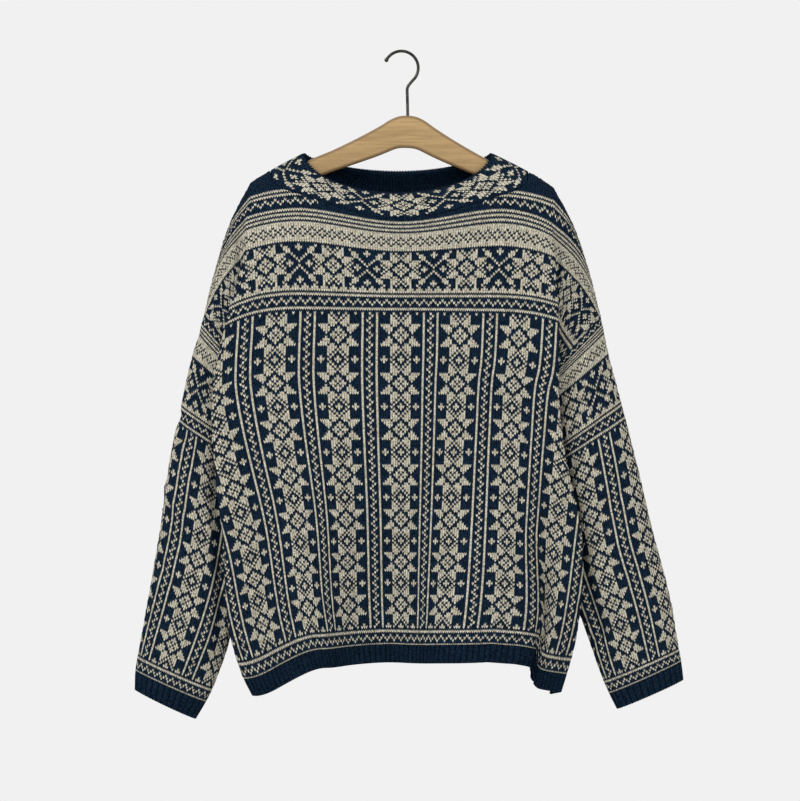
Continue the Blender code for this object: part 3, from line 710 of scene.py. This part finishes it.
def cloth_grid(name, points, across, up, cream=None):
    """A piece from a grid of points in millimetres, with its UV map and any marks."""
    deselect_all()
    rows, columns = points.shape[:2]
    bpy.ops.mesh.primitive_grid_add(x_subdivisions=columns - 1, y_subdivisions=rows - 1)
    piece = bpy.context.object
    piece.name = name
    mesh = piece.data
    mesh.vertices.foreach_set("co", (points * MM).reshape(-1))
    corners = np.empty(len(mesh.loops), int)
    mesh.loops.foreach_get("vertex_index", corners)
    uv = np.stack([np.broadcast_to(part, (rows, columns)) for part in (across, up)], axis=-1)
    uv = uv.reshape(-1, 2)[corners]
    mesh.uv_layers[0].data.foreach_set("uv", uv.reshape(-1))
    marks = mesh.attributes.new("cream", "FLOAT", "FACE")
    if cream is not None:
        marks.data.foreach_set("value", cream.reshape(-1))
    mesh.update()
    bpy.ops.object.mode_set(mode="EDIT")
    bpy.ops.mesh.select_all(action="SELECT")
    bpy.ops.mesh.remove_doubles(threshold=0.00002)
    bpy.ops.object.mode_set(mode="OBJECT")
    bpy.ops.object.shade_smooth()
    mesh.materials.clear()
    mesh.materials.append(knit_wool)
    return piece


def half_stitches(count):
    """Grid lines twice a stitch, from the middle of one stitch to the middle of another."""
    return np.arange(-count, count + 1) / 2.0


def lowered(lines, rows):
    """Rows as the grid's points see them: the middle of each stitch hangs lower."""
    middle = lines == np.round(lines)
    drop = V_DROP * middle[None, :] * np.ones_like(rows)[:, None]
    drop[0] = 0.0
    return rows[:, None] - drop


def unit(vectors):
    return vectors / np.maximum(np.linalg.norm(vectors, axis=-1, keepdims=True), 1e-9)


def face_marks(marks_of, lines, rows):
    """Chart marks of the faces between grid lines."""
    stitch = np.round((lines[:-1] + lines[1:]) / 2.0).astype(int)
    stitch, row = np.meshgrid(stitch, rows[:-1].astype(int))
    return marks_of(stitch, row)


def marks_with_lining(marks_of, lines, rows, grid):
    """Chart marks on the outside of a closed wall, and none on its turns and inside."""
    marks = np.zeros((len(grid) - 1, len(lines) - 1))
    marks[:len(rows) - 1] = face_marks(marks_of, lines, rows)
    return marks


print("grid lines across a panel:", len(half_stitches(int(2 * SIDE_STITCH))))

# %% [markdown]
# ## Front and back
#
# Each panel is knitted flat with 218 stitches and 212 rows above the rib. Its
# wrong side is a second, coarser sheet a yarn's thickness behind it, because
# nobody sees stitches there. Besides the folds in the tables, cloth that hangs
# has smaller creases. They are placed one by one, each a soft trough or ridge
# along a short line, and each with its own length, depth and width. A cloth
# simulation could make creases too, but not in these places.

# %% Creases one by one
Crease = namedtuple("Crease", "stitch row to_stitch to_row width height")
FRONT_CREASES = table(Crease, [
    (-66, 178, -48, 150, 9, -2.2), (-58, 186, -36, 165, 8, 1.8),
    (60, 176, 42, 148, 10, -2.4), (55, 186, 30, 168, 8, 1.6),
    (-74, 120, -62, 60, 7, -2.6), (71, 112, 74, 12, 5, -3.0),
    (-70, 100, -77, 20, 6, -2.6), (-30, 110, -24, 14, 12, 2.2),
    (8, 96, 14, 10, 11, 2.4), (60, 90, 58, 20, 9, -1.6),
    (-46, 70, -41, 8, 9, -1.8), (25, 66, 27, 6, 8, -1.7),
    (-12, 188, 12, 186, 9, 1.4), (66, 150, 62, 122, 7, -2.0),
    (-70, 158, -68, 130, 7, -2.0), (40, 140, 47, 92, 10, 1.4),
    (76, 132, 68, 194, 9, -3.5), (-81, 132, -69, 194, 9, -3.5),
])
BACK_CREASES = table(Crease, [
    (-62, 176, -44, 146, 10, -2.2), (58, 178, 40, 150, 9, -2.0),
    (-52, 188, -30, 170, 8, 1.6), (50, 186, 28, 166, 9, 1.8),
    (-70, 104, -74, 18, 6, -2.4), (68, 110, 72, 22, 6, -2.6),
    (-38, 96, -42, 8, 10, 1.9), (-4, 104, 0, 12, 12, -2.0),
    (34, 92, 37, 10, 9, 2.0), (20, 60, 18, 4, 8, -1.6),
    (-14, 120, -10, 70, 9, 1.4), (60, 150, 64, 118, 8, -1.8),
])
STITCH_WIDTH = 3.25
UNEVEN = 0.28


def crease_height(stitch, row, creases):
    """How far the creases push the cloth out at each stitch and row."""
    height = np.zeros(np.broadcast(stitch, row).shape)
    x = stitch * STITCH_WIDTH
    z = row * ROW_HEIGHT
    for crease in creases:
        start = np.array([crease.stitch * STITCH_WIDTH, crease.row * ROW_HEIGHT])
        along = np.array([crease.to_stitch * STITCH_WIDTH, crease.to_row * ROW_HEIGHT]) - start
        length = np.hypot(*along)
        share = ((x - start[0]) * along[0] + (z - start[1]) * along[1]) / length ** 2
        off = ((x - start[0]) * along[1] - (z - start[1]) * along[0]) / length
        ends = smooth_step(share / 0.3) * smooth_step((1.0 - share) / 0.3)
        height += crease.height * ends * bell(off, crease.width)
    return height


def uneven(shape, seed):
    """Small random heights of hand-knitted stitches, the same at every run."""
    heights = np.random.default_rng(seed).normal(0.0, UNEVEN, shape)
    return (heights + np.roll(heights, 1, axis=0) + np.roll(heights, 1, axis=1)) / 1.7


def surface_and_normals(point_of, across, up, outwards):
    """Points of a surface and its outward directions, from small steps both ways."""
    step = 0.4
    point = point_of(across, up)
    sideways = point_of(across + step, up) - point_of(across - step, up)
    upwards = point_of(across, up + step) - point_of(across, up - step)
    return point, unit(np.cross(sideways, upwards)) * outwards


print("creases:", len(FRONT_CREASES), "in front,", len(BACK_CREASES), "behind")

# %% Knit a panel
PANEL_ROWS = 212
HEM_SEAM_ROW = 0.14
LINING_COLUMNS = 74
LINING_ROWS = 44
NECK_BORDER_STITCH = 33.0
SEAM_WALL = 0.15
SEAM_STITCHES = 4.0


def knit_panel(name, neck_row, flutes, face, creases):
    direction = -1 if face > 0 else 1

    def point_of(stitch, row):
        return panel_point(stitch, row, flutes, face)

    def layer(name, lines, real_rows, up, lift, cream, turn):
        """One sheet of the panel, lifted off its form; turn -1 makes it face the other way."""
        stitch = np.broadcast_to(lines, real_rows.shape)
        point, out = surface_and_normals(point_of, stitch, real_rows, direction)
        point = point + out * lift[..., None]
        return cloth_grid(name, point[:, ::turn], lines[::turn], up[:, ::turn], cream[:, ::turn])

    lines = half_stitches(int(2 * SIDE_STITCH))
    rows = np.arange(PANEL_ROWS + 1, dtype=float)
    real_rows = lowered(lines, rows)
    real_rows[0] = HEM_SEAM_ROW
    real_rows = np.minimum(real_rows, top_row(lines, neck_row))
    lift = crease_height(lines, real_rows, creases) + uneven(real_rows.shape, 11)
    lift[:2] = 0.0
    middle = (lines[:-1] + lines[1:]) / 2.0
    border = (np.abs(middle) < NECK_BORDER_STITCH) & (rows[:-1, None] >= FRONT_NECK_ROW)
    marks = face_marks(body_marks, lines, rows) * ~border
    outer = layer(name, lines, real_rows, rows[:, None], lift, marks, direction)
    lines = np.linspace(-SIDE_STITCH, SIDE_STITCH, LINING_COLUMNS + 1)
    share = np.linspace(HEM_SEAM_ROW, SHOULDER_ROW, LINING_ROWS + 1) / SHOULDER_ROW
    last = top_row(lines, neck_row)
    real_rows = share[:, None] * last
    from_edge = np.minimum(SIDE_STITCH - np.abs(lines), np.minimum(real_rows, last - real_rows))
    depth = SEAM_WALL + (WALL - SEAM_WALL) * smooth_step(from_edge / SEAM_STITCHES)
    lift = crease_height(lines, real_rows, creases) - depth
    inner = layer(name + "_wrong_side", lines, real_rows, real_rows, lift,
                  np.zeros((LINING_ROWS, LINING_COLUMNS)), -direction)
    return join(outer, inner)


knit_front = knit_panel("knit_front", FRONT_NECK_ROW, FRONT_FLUTES, -1.0, FRONT_CREASES)
knit_back = knit_panel("knit_back", BACK_NECK_ROW, BACK_FLUTES, 1.0, BACK_CREASES)
dress(knit_front, "body_front")
dress(knit_back, "body_back")

# %% [markdown]
# ## Sleeves
#
# A sleeve is a tube, and a tube keeps its columns straight by counting stitches
# along its girth: 104 of them. They get narrower to the wrist as the tube
# does. A short table says how far down the tube each band of the chart lies,
# because the upper sleeve hangs from its seam and is stretched a little. The
# outside turns in at both ends and comes back as the inside, so the wall closes.

# %% Rows and stitches of the sleeves
SLEEVE_STITCHES = 104
SLEEVE_ROWS = 158
SLEEVE_CENTRE = {"right": 93.0, "left": 70.0}
SLEEVE_TWIST = {"right": ([0, 60, 158], [-5, 0, 0]), "left": ([0, 60, 108, 158], [2, 2, 5, 5])}
SLEEVE_ROW_PLACES = {
    "right": [(0, 442.2), (8, 420), (108, 126), (120, 96), (138, 44), (147, 21), (158, 0)],
    "left": [(0, 433.2), (8, 413), (108, 122.5), (120, 92), (138, 38), (147, 17), (158, 0)],
}
SLEEVE_CREASES = {
    "right": table(Crease, [
        (-30, 150, 6, 128, 9, -3.0), (-26, 132, 12, 120, 8, 2.4),
        (-34, 118, -4, 96, 9, -3.2), (-20, 98, 16, 84, 10, -2.4),
        (-30, 84, 0, 66, 8, 2.6), (-6, 70, 22, 56, 9, -2.6),
        (-24, 50, 4, 38, 8, -2.0), (2, 36, 20, 22, 7, 1.8),
        (30, 140, 60, 118, 9, -2.6), (38, 96, 66, 80, 9, -2.4),
        (34, 60, 62, 44, 8, 2.0),
        (1, 148, 6, 70, 13, -10.0), (5, 92, 21, 18, 12, -9.0),
    ]),
    "left": table(Crease, [
        (-12, 130, 24, 152, 9, -3.0), (-16, 120, 20, 134, 8, 2.4),
        (-10, 96, 28, 120, 9, -3.0), (-22, 84, 14, 100, 9, 2.2),
        (-4, 66, 26, 86, 8, -2.6), (-22, 56, 8, 70, 9, -2.4),
        (-6, 36, 24, 52, 8, 2.2), (-20, 22, 2, 34, 7, -1.8),
        (-62, 118, -34, 140, 9, -2.4), (-64, 78, -38, 96, 9, 2.2),
        (-60, 44, -36, 58, 8, -2.0),
        (-5, 148, -6, 60, 13, -10.0), (-6, 84, -10, 12, 12, -9.0),
    ]),
}


def girth_angles(sections, centre, stitches, sign):
    """Angles round the tube that are so many stitches from its middle column."""
    angles = np.linspace(0.0, 360.0, 721)
    ring = sleeve_point(sections, angles, np.full_like(angles, 200.0))
    girth = arc_lengths(ring)
    wanted = np.interp(centre, angles, girth) + sign * stitches / SLEEVE_STITCHES * girth[-1]
    turns = np.floor(wanted / girth[-1])
    return np.interp(wanted - turns * girth[-1], girth, angles) + 360.0 * turns


def close_wall(outer, normals, wall, inner_rows, bulge=0.5):
    """Rows for the outside, a round turn, the inside, and back to the first row."""
    def turn(edge, out, onward):
        return [edge - out * wall / 2 * (1 - math.cos(a)) + onward * wall * bulge * math.sin(a)
                for a in (math.pi / 4, math.pi / 2, 3 * math.pi / 4)]
    top = turn(outer[-1], normals[-1], unit(outer[-1] - outer[-2]))
    bottom = turn(outer[0], normals[0], unit(outer[0] - outer[1]))
    inner = [outer[i] - normals[i] * wall for i in inner_rows[::-1]]
    return np.array(list(outer) + top + inner + bottom[::-1] + [outer[0]])


print("sleeve row places:", SLEEVE_ROW_PLACES["right"])


# %% Knit the sleeves
def knit_sleeve(side, sections):
    sign = 1.0 if side == "left" else -1.0
    lines = half_stitches(SLEEVE_STITCHES)
    rows = np.arange(SLEEVE_ROWS + 1, dtype=float)
    real_rows = lowered(lines, rows)
    real_rows[-1] = SLEEVE_ROWS
    places = np.array(SLEEVE_ROW_PLACES[side])
    stitch = lines[None, :] + np.interp(rows, *SLEEVE_TWIST[side])[:, None]
    angle = girth_angles(sections, SLEEVE_CENTRE[side], stitch, sign)

    def point_of(angle, row):
        return sleeve_point(sections, angle, np.interp(row, places[:, 0], places[:, 1]))

    point, out = surface_and_normals(point_of, angle, real_rows, sign)
    fade = smooth_step(real_rows / 8.0) * smooth_step((SLEEVE_ROWS - real_rows) / 6.0)
    creased = sum(crease_height(stitch + turn, real_rows, SLEEVE_CREASES[side])
                  for turn in (0, SLEEVE_STITCHES, -SLEEVE_STITCHES))
    lift = fade * (creased + uneven(real_rows.shape, 12))
    lift[:, -1] = lift[:, 0]
    point = point + out * lift[..., None]
    inner_rows = np.linspace(0, SLEEVE_ROWS, 18).astype(int)
    grid = close_wall(point, out, WALL, inner_rows, 0.1)
    up = np.arange(len(grid), dtype=float)[:, None]
    cream = marks_with_lining(sleeve_marks, lines, rows, grid)
    return cloth_grid("knit_sleeve_" + side, grid, lines, up, cream)


knit_sleeves = {side: knit_sleeve(side, sections)
                for side, sections in (("right", RIGHT_SLEEVE), ("left", LEFT_SLEEVE))}
for side, piece in knit_sleeves.items():
    dress(piece, "sleeve_" + side)

# %% [markdown]
# ## Neckband
#
# The collar is knitted as one band, folded at its top edge and sewn down inside,
# so it is double and stands up. Its outside has six repeats of the star band,
# 168 stitches round, and its inside is plain. The columns are spaced along the
# band's own length, with the middle star in the middle of the front.

# %% Knit the neckband
COLLAR_STITCHES = 168
COLLAR_ROWS = 20
COLLAR_STAR_ROW = 10
COLLAR_FRONT_EASE = -0.075
COLLAR_TURN = 0.006
COLLAR_WALL = 5.0


def collar_marks(stitch, row):
    return band_marks(stitch, row - COLLAR_STAR_ROW).astype(float)


def ring_normals(grid, flip=1.0):
    """Outward directions of a coarse closed grid, rows first."""
    sideways = unit(np.roll(grid, -1, axis=1) - grid)
    sideways = sideways + np.roll(sideways, 1, axis=1)
    steps = unit(np.diff(grid, axis=0))
    upwards = np.concatenate([steps[:1], steps[1:] + steps[:-1], steps[-1:]])
    return unit(np.cross(sideways, upwards)) * flip


def spread_ring(values, places, wanted, period):
    """Values of a closed ring at other places round it."""
    places = np.append(places, places[0] + period)
    values = np.concatenate([values, values[:1]])
    wanted = places[0] + (wanted - places[0]) % period
    return np.stack([np.interp(wanted, places, part) for part in values.T], axis=-1)


def knit_neckband():
    fine = np.linspace(-90.0, 270.0, 1441)
    middle = collar_point(fine, np.full_like(fine, 0.5))
    length = arc_lengths(middle)
    lines = half_stitches(COLLAR_STITCHES)
    share = lines / COLLAR_STITCHES
    share = share + COLLAR_TURN + COLLAR_FRONT_EASE * np.sin(2 * np.pi * share) / (2 * np.pi)
    angles = np.interp(share % 1.0 * length[-1], length, fine)
    rows = np.arange(COLLAR_ROWS + 1, dtype=float)
    real_rows = lowered(lines, rows)
    heights = np.clip(real_rows / COLLAR_ROWS, 0.0, 1.0)
    coarse = np.linspace(0.0, 360.0, 45)[:-1]
    band = collar_point(*np.meshgrid(coarse, [0.0, 0.25, 0.5, 0.75, 1.0]))
    facing = ring_normals(band)
    levels = np.array([spread_ring(level, coarse, angles, 360.0) for level in facing])
    place = heights * 4.0
    low = np.minimum(place.astype(int), 3)
    share = (place - low)[..., None]
    column = np.arange(len(lines))[None, :]
    out = unit(levels[low, column] * (1 - share) + levels[low + 1, column] * share)
    point = collar_point(np.broadcast_to(angles, heights.shape), heights)
    inner_rows = np.arange(0, COLLAR_ROWS + 1, 3)
    grid = close_wall(point, out, COLLAR_WALL, inner_rows, 0.4)
    cream = marks_with_lining(collar_marks, lines, rows, grid)
    up = np.concatenate([rows, COLLAR_ROWS + np.arange(1, 5) * 0.8,
                         COLLAR_ROWS + 3.2 + np.arange(1, len(grid) - len(rows) - 3) * 3.0])
    return cloth_grid("knit_neckband", grid, lines, up[:, None], cream)


knit_collar = knit_neckband()
dress(knit_collar, "neckband")

# %% [markdown]
# ## Ribs
#
# Hem and cuffs are knitted one by one: a column of knit stitches stands out, a
# column of purl sinks behind it, and the cloth draws in. Here the ribs are real
# waves in the surface, four grid lines to each, over a plain inside.

# %% Knit the hem rib
HEM_RIBS = 164  # on each panel
HEM_COARSE = 152
RIB_WAVE = 1.8
RIB_ROWS = 8
LINES_A_RIB = 4
RIB_WALL = 3.0
RIB_BULGE = 0.35


def rib_wave(lines):
    """How far a rib's surface sinks at each grid line, 0 on its crest."""
    return RIB_WAVE * (0.5 - 0.5 * np.cos(2.0 * np.pi * lines))


def rib_ring(name, point, out, lines):
    """A ribbed ring from its outside; a ring one line short is closed with its first."""
    inner_rows = [0, RIB_ROWS // 2, RIB_ROWS]
    grid = close_wall(point, out, RIB_WALL - RIB_WAVE / 2, inner_rows, RIB_BULGE)
    if grid.shape[1] < len(lines):
        grid = np.concatenate([grid, grid[:, :1]], axis=1)
    return cloth_grid(name, grid, lines / 2.0, np.arange(len(grid), dtype=float)[:, None])


def knit_hem():
    def ring(stitch, row):
        row = np.full_like(stitch, row)
        on_front = panel_point(stitch, row, FRONT_FLUTES, -1.0)
        on_back = panel_point(stitch[::-1], row, BACK_FLUTES, 1.0)
        return np.concatenate([on_front, on_back])

    def evenly(count):
        return SIDE_STITCH * (np.linspace(-1.0, 1.0, count + 1)[:-1] + 1.0 / count)

    coarse = evenly(HEM_COARSE)
    facing = ring_normals(np.array([ring(coarse, HEM_ROW), ring(coarse, 0.0)]))[0]
    count = HEM_RIBS * LINES_A_RIB
    fine = evenly(count)
    out = unit(spread_ring(facing, np.arange(2 * HEM_COARSE) + 0.5,
                           (np.arange(2 * count) + 0.5) / count * HEM_COARSE, 2.0 * HEM_COARSE))
    levels = np.linspace(HEM_ROW, -HEM_SEAM_ROW, RIB_ROWS + 1)
    lines = np.arange(2 * count + 1) / LINES_A_RIB
    sink = rib_wave(lines[:-1])[:, None]
    point = np.array([ring(fine, level) - out * sink for level in levels])
    return rib_ring("knit_hem_rib", point, np.broadcast_to(out, point.shape), lines)


hem_rib = knit_hem()
dress(hem_rib, "hem_rib")

# %% Knit the cuffs
CUFF_RIBS = 54
WRIST_SECTION = 7


def knit_cuff(side, sections):
    sign = 1.0 if side == "left" else -1.0
    stations = sleeve_stations(sections)
    lines = np.arange(CUFF_RIBS * LINES_A_RIB + 1) / LINES_A_RIB
    stitches = lines / CUFF_RIBS * SLEEVE_STITCHES
    angles = girth_angles(sections, 0.0, stitches, sign)
    levels = np.linspace(stations[-1], stations[WRIST_SECTION], RIB_ROWS + 1)
    angle, along = np.meshgrid(angles, levels)
    point, out = surface_and_normals(
        lambda a, s: sleeve_point(sections, a, np.clip(s, stations[WRIST_SECTION], stations[-1])),
        angle, along, -sign)
    point = point - out * rib_wave(lines)[None, :, None]
    return rib_ring("knit_cuff_" + side, point, out, lines)


knit_cuffs = {side: knit_cuff(side, sections)
              for side, sections in (("right", RIGHT_SLEEVE), ("left", LEFT_SLEEVE))}
for side, piece in knit_cuffs.items():
    dress(piece, "cuff_" + side)

# %% [markdown]
# ## The hanger
#
# The hanger is cut from a beech board about 12 mm thick, shaped like a bow, and
# its edges are rounded over. A filled circle is moved onto that outline, pulled
# out to the board's thickness and bevelled along both rims. The rims get a
# painted shade, a darker brown on all their faces. The real one has
# printed words, which are left off.

# %% Cut the board
HANGER_APEX = (9.0, -82.8)
HANGER_TILT = math.radians(2.1)
HANGER_THICKNESS = 12.0
HANGER_ROUND = 3.6
HangerPoint = namedtuple("HangerPoint", "along top_drop bottom_drop")
HANGER_ARM = table(HangerPoint, [
    (0, 0, 42), (12, 1.5, 43), (24, 7.0, 48),
    (35, 14.5, 53), (94, 47.5, 76), (122, 60.4, 88),
    (150, 74.7, 100), (172, 86.2, 109), (182, 92.0, 112),
    (186, 97.0, 108),
])


def hanger_outline(steps):
    """The board's outline, counterclockwise as seen from the front."""
    mirrored = [HangerPoint(-p.along, p.top_drop, p.bottom_drop) for p in HANGER_ARM[:0:-1]]
    arm = mirrored + HANGER_ARM
    along = np.linspace(-HANGER_ARM[-1].along, HANGER_ARM[-1].along, steps)
    stations = [p.along for p in arm]
    top = -table_curve(stations, [p.top_drop for p in arm], along)
    bottom = -table_curve(stations, [p.bottom_drop for p in arm], along)
    x = np.concatenate([along, along[::-1]])
    z = np.concatenate([bottom, top[::-1]])
    cosine, sine = math.cos(HANGER_TILT), math.sin(HANGER_TILT)
    return np.stack([HANGER_APEX[0] + x * cosine + z * sine,
                     HANGER_APEX[1] - x * sine + z * cosine], axis=-1)


def cut_board():
    deselect_all()
    outline = hanger_outline(120)
    bpy.ops.mesh.primitive_circle_add(vertices=len(outline), radius=0.1, fill_type="NGON")
    board = bpy.context.object
    board.name = "wooden_hanger"
    front = -HANGER_THICKNESS / 2
    for vertex, (x, z) in zip(board.data.vertices, outline):
        vertex.co = (x * MM, front * MM, z * MM)
    bpy.ops.object.mode_set(mode="EDIT")
    bpy.ops.mesh.select_all(action="SELECT")
    bpy.ops.mesh.extrude_region_move(
        TRANSFORM_OT_translate={"value": (0.0, HANGER_THICKNESS * MM, 0.0)})
    bpy.ops.mesh.select_all(action="SELECT")
    bpy.ops.mesh.normals_make_consistent(inside=False)
    bpy.ops.mesh.select_all(action="DESELECT")
    bpy.ops.object.mode_set(mode="OBJECT")
    mesh = board.data
    for edge in mesh.edges:
        a, b = (mesh.vertices[i].co.y for i in edge.vertices)
        edge.select = abs(a - b) < 1e-6
    bpy.ops.object.mode_set(mode="EDIT")
    bpy.ops.mesh.select_mode(type="EDGE")
    bpy.ops.mesh.bevel(offset=HANGER_ROUND * MM, segments=4, affect="EDGES")
    bpy.ops.mesh.select_all(action="SELECT")
    bpy.ops.mesh.remove_doubles(threshold=0.00005)
    bpy.ops.object.mode_set(mode="OBJECT")
    bpy.ops.object.shade_smooth_by_angle(angle=math.radians(50))
    # The bevel faces are marked here, so that the beech material can give them painted shade.
    rim = mesh.attributes.new("rim", "FLOAT", "FACE")
    rim.data.foreach_set("value", [0.0 if abs(p.normal.y) > 0.99 else 1.0 for p in mesh.polygons])
    return board


hanger_board = cut_board()
print("board faces:", len(hanger_board.data.polygons))

# %% [markdown]
# Beech has a fine, straight grain with short darker flecks, and a thin clear
# varnish gives it a honey tone. Noise stretched along the board makes the grain,
# and a second, coarser one makes the broad bands of growth.

# %% Beech
GRAIN_RELIEF = 0.0004
WOOD_DARK = (0.21, 0.128, 0.046)
WOOD_LIGHT = (0.355, 0.232, 0.095)
# The dark brown of the painted shade on the bevelled rims.
PAINTED_RIM_SHADE = (0.11, 0.055, 0.017)


def beech_material():
    material, place, shader = new_material("varnished_beech", 0.42, Coat_Weight=0.15)
    grain = noise(place, 90.0, 4.0, stretch=(0.25, 1.0, 5.0))
    bands = noise(place, 22.0, 2.0, stretch=(0.3, 1.0, 3.0), shift=0.7)
    flecks = noise(place, 420.0, 2.0, stretch=(0.12, 1.0, 1.6), shift=1.3)
    tone = grain * 0.45 + bands * 0.4 + flecks * 0.15
    wood = tone.between(0.34, 0.66).colour(WOOD_DARK, WOOD_LIGHT)
    rim = place.node("ShaderNodeAttribute", {"attribute_name": "rim"}, "Fac")
    # Painted shade: the bevel faces are mixed 62 per cent of the way towards the dark brown.
    feed(shader, "Base Color", (rim * 0.62).colour(wood, PAINTED_RIM_SHADE))
    feed(shader, "Roughness", tone * 0.2 + 0.32)
    feed(shader, "Normal", place.node("ShaderNodeBump", Height=tone, Strength=0.25,
                                      Distance=GRAIN_RELIEF))
    return material


hanger_board.data.materials.clear()
hanger_board.data.materials.append(beech_material())
dress(hanger_board, "hanger_wood")

# %% [markdown]
# The hook is one bent wire, 4 mm thick, with a small ball at its tip. A curve
# with a round bevel is the plainest way to a wire, because its points are the
# bends themselves. It is turned into a mesh at the end.

# %% Bend the hook
HOOK_CENTRE = (0.5, -20.5)
HOOK_RADIUS = 22.0
HOOK_SHANK_X = 8.0
WIRE_RADIUS = 2.0
BALL_RADIUS = 2.8


def hook_route():
    route = []
    for degrees in np.linspace(152.0, -38.0, 34):
        turn = math.radians(degrees)
        route.append((HOOK_CENTRE[0] + HOOK_RADIUS * math.cos(turn),
                      HOOK_CENTRE[1] + HOOK_RADIUS * math.sin(turn)))
    return route + [(13.6, -38.6), (9.6, -43.6), (8.2, -47.0), (HOOK_SHANK_X, -50.0),
                    (HOOK_SHANK_X + 0.5, -66.0), (HOOK_SHANK_X + 0.8, HANGER_APEX[1] - 1.0)]


def bend_hook():
    deselect_all()
    bpy.ops.curve.primitive_nurbs_path_add()
    wire = bpy.context.object
    curve = wire.data
    curve.splines.clear()
    route = hook_route()
    line = curve.splines.new("POLY")
    line.points.add(len(route) - 1)
    for point, (x, z) in zip(line.points, route):
        point.co = (x * MM, 0.0, z * MM, 1.0)
    curve.bevel_depth = WIRE_RADIUS * MM
    curve.bevel_resolution = 5
    curve.use_fill_caps = True
    bpy.ops.object.convert(target="MESH")
    tip_x, tip_z = route[0]
    bpy.ops.mesh.primitive_uv_sphere_add(segments=24, ring_count=16, radius=BALL_RADIUS * MM,
                                         location=(tip_x * MM, 0.0, tip_z * MM))
    ball = bpy.context.object
    bpy.ops.object.transform_apply(location=True)
    join(wire, ball)
    bpy.ops.object.shade_smooth()
    wire.name = "wire_hook"
    return wire


wire_hook = bend_hook()
print("hook faces:", len(wire_hook.data.polygons))


# %% Dark steel
def steel_material():
    material, place, shader = new_material("dark_steel", 0.34, Metallic=1.0)
    wear = noise(place, 260.0, 3.0)
    streaks = noise(place, 900.0, 2.0, stretch=(1.0, 1.0, 0.2), shift=2.0)
    tone = (wear * 0.6 + streaks * 0.4).between(0.35, 0.65)
    feed(shader, "Base Color", tone.colour((0.018, 0.017, 0.016), (0.07, 0.065, 0.058)))
    feed(shader, "Roughness", tone * 0.2 + 0.26)
    return material


wire_hook.data.materials.clear()
wire_hook.data.materials.append(steel_material())
dress(wire_hook, "hanger_hook")

# %% [markdown]
# ## How the cloth was cut
#
# Each cloth piece was knitted to a size of its own, and the surface of each
# is printed below. A panel is 218 stitches of 3.03 mm and 212 rows of
# 2.83 mm, and its neck and shoulders cut that rectangle down. A sleeve is 104
# stitches of 3.25 mm at its top and 158 rows of 2.95 mm, the collar is 168
# stitches of 3.8 mm, and the ribs are measured pulled out flat.

for piece in (knit_front, knit_back, *knit_sleeves.values(), knit_collar, hem_rib,
              *knit_cuffs.values()):
    print(piece.name, "surface", round(sum(p.area for p in piece.data.polygons), 4), "m2")

# %% [markdown]
# ## Light and camera
#
# The sweater hangs in a plain pale room over a round floor, which lies below the
# picture. Large soft lights from both sides in front show the folds without
# hard edges. The camera looks level at its middle from about four metres through
# a long lens, which keeps the shoulders and hem at one scale.

# %% Floor
FLOOR_Z = -1.3
FLOOR_RADIUS = 1.4


def floor_disc():
    deselect_all()
    bpy.ops.mesh.primitive_circle_add(vertices=128, radius=FLOOR_RADIUS, fill_type="NGON",
                                      location=(0.0, 0.0, FLOOR_Z))
    disc = bpy.context.object
    disc.name = "floor"
    bpy.ops.object.transform_apply(location=True)
    material, place, shader = new_material("pale_floor", 0.9, Specular_IOR_Level=0.0)
    feed(shader, "Base Color", noise(place, 3.0).between(0.3, 0.7).colour(
        (0.71, 0.71, 0.71), (0.72, 0.72, 0.72)))
    disc.data.materials.append(material)
    return disc


pale_floor = floor_disc()
print("floor:", pale_floor.name)


# %% Lights and camera
AIM = (0.0, 0.0, -0.45)
ROOM_GREY = (0.879, 0.879, 0.879, 1.0)


def soft_light(name, place, size, power):
    bpy.ops.object.light_add(type="AREA", location=place)
    light = bpy.context.object
    light.name = name
    light.data.size = size
    light.data.energy = power
    away = np.array(place) - np.array(AIM)
    flat = math.hypot(away[0], away[1])
    light.rotation_euler = (math.atan2(flat, away[2]), 0.0, math.atan2(away[0], -away[1]))
    return light


deselect_all()
soft_light("left_light", (-2.6, -2.4, 1.6), 1.6, 105.0)
soft_light("right_light", (2.9, -2.6, 0.7), 1.8, 55.0)
world = bpy.context.scene.world or bpy.data.worlds.new("studio")
bpy.context.scene.world = world
world.use_nodes = True
background = world.node_tree.nodes["Background"]
background.inputs["Color"].default_value = ROOM_GREY
background.inputs["Strength"].default_value = 1.0
bpy.context.scene.view_settings.view_transform = "Standard"

bpy.ops.object.camera_add(location=(-0.0013, -4.0, -0.4537), rotation=(math.pi / 2, 0.0, 0.0))
camera = bpy.context.object
camera.data.sensor_width = 36.0
camera.data.lens = 138.0
bpy.context.scene.camera = camera
print("camera:", camera.location[:], "lens", camera.data.lens, "mm")
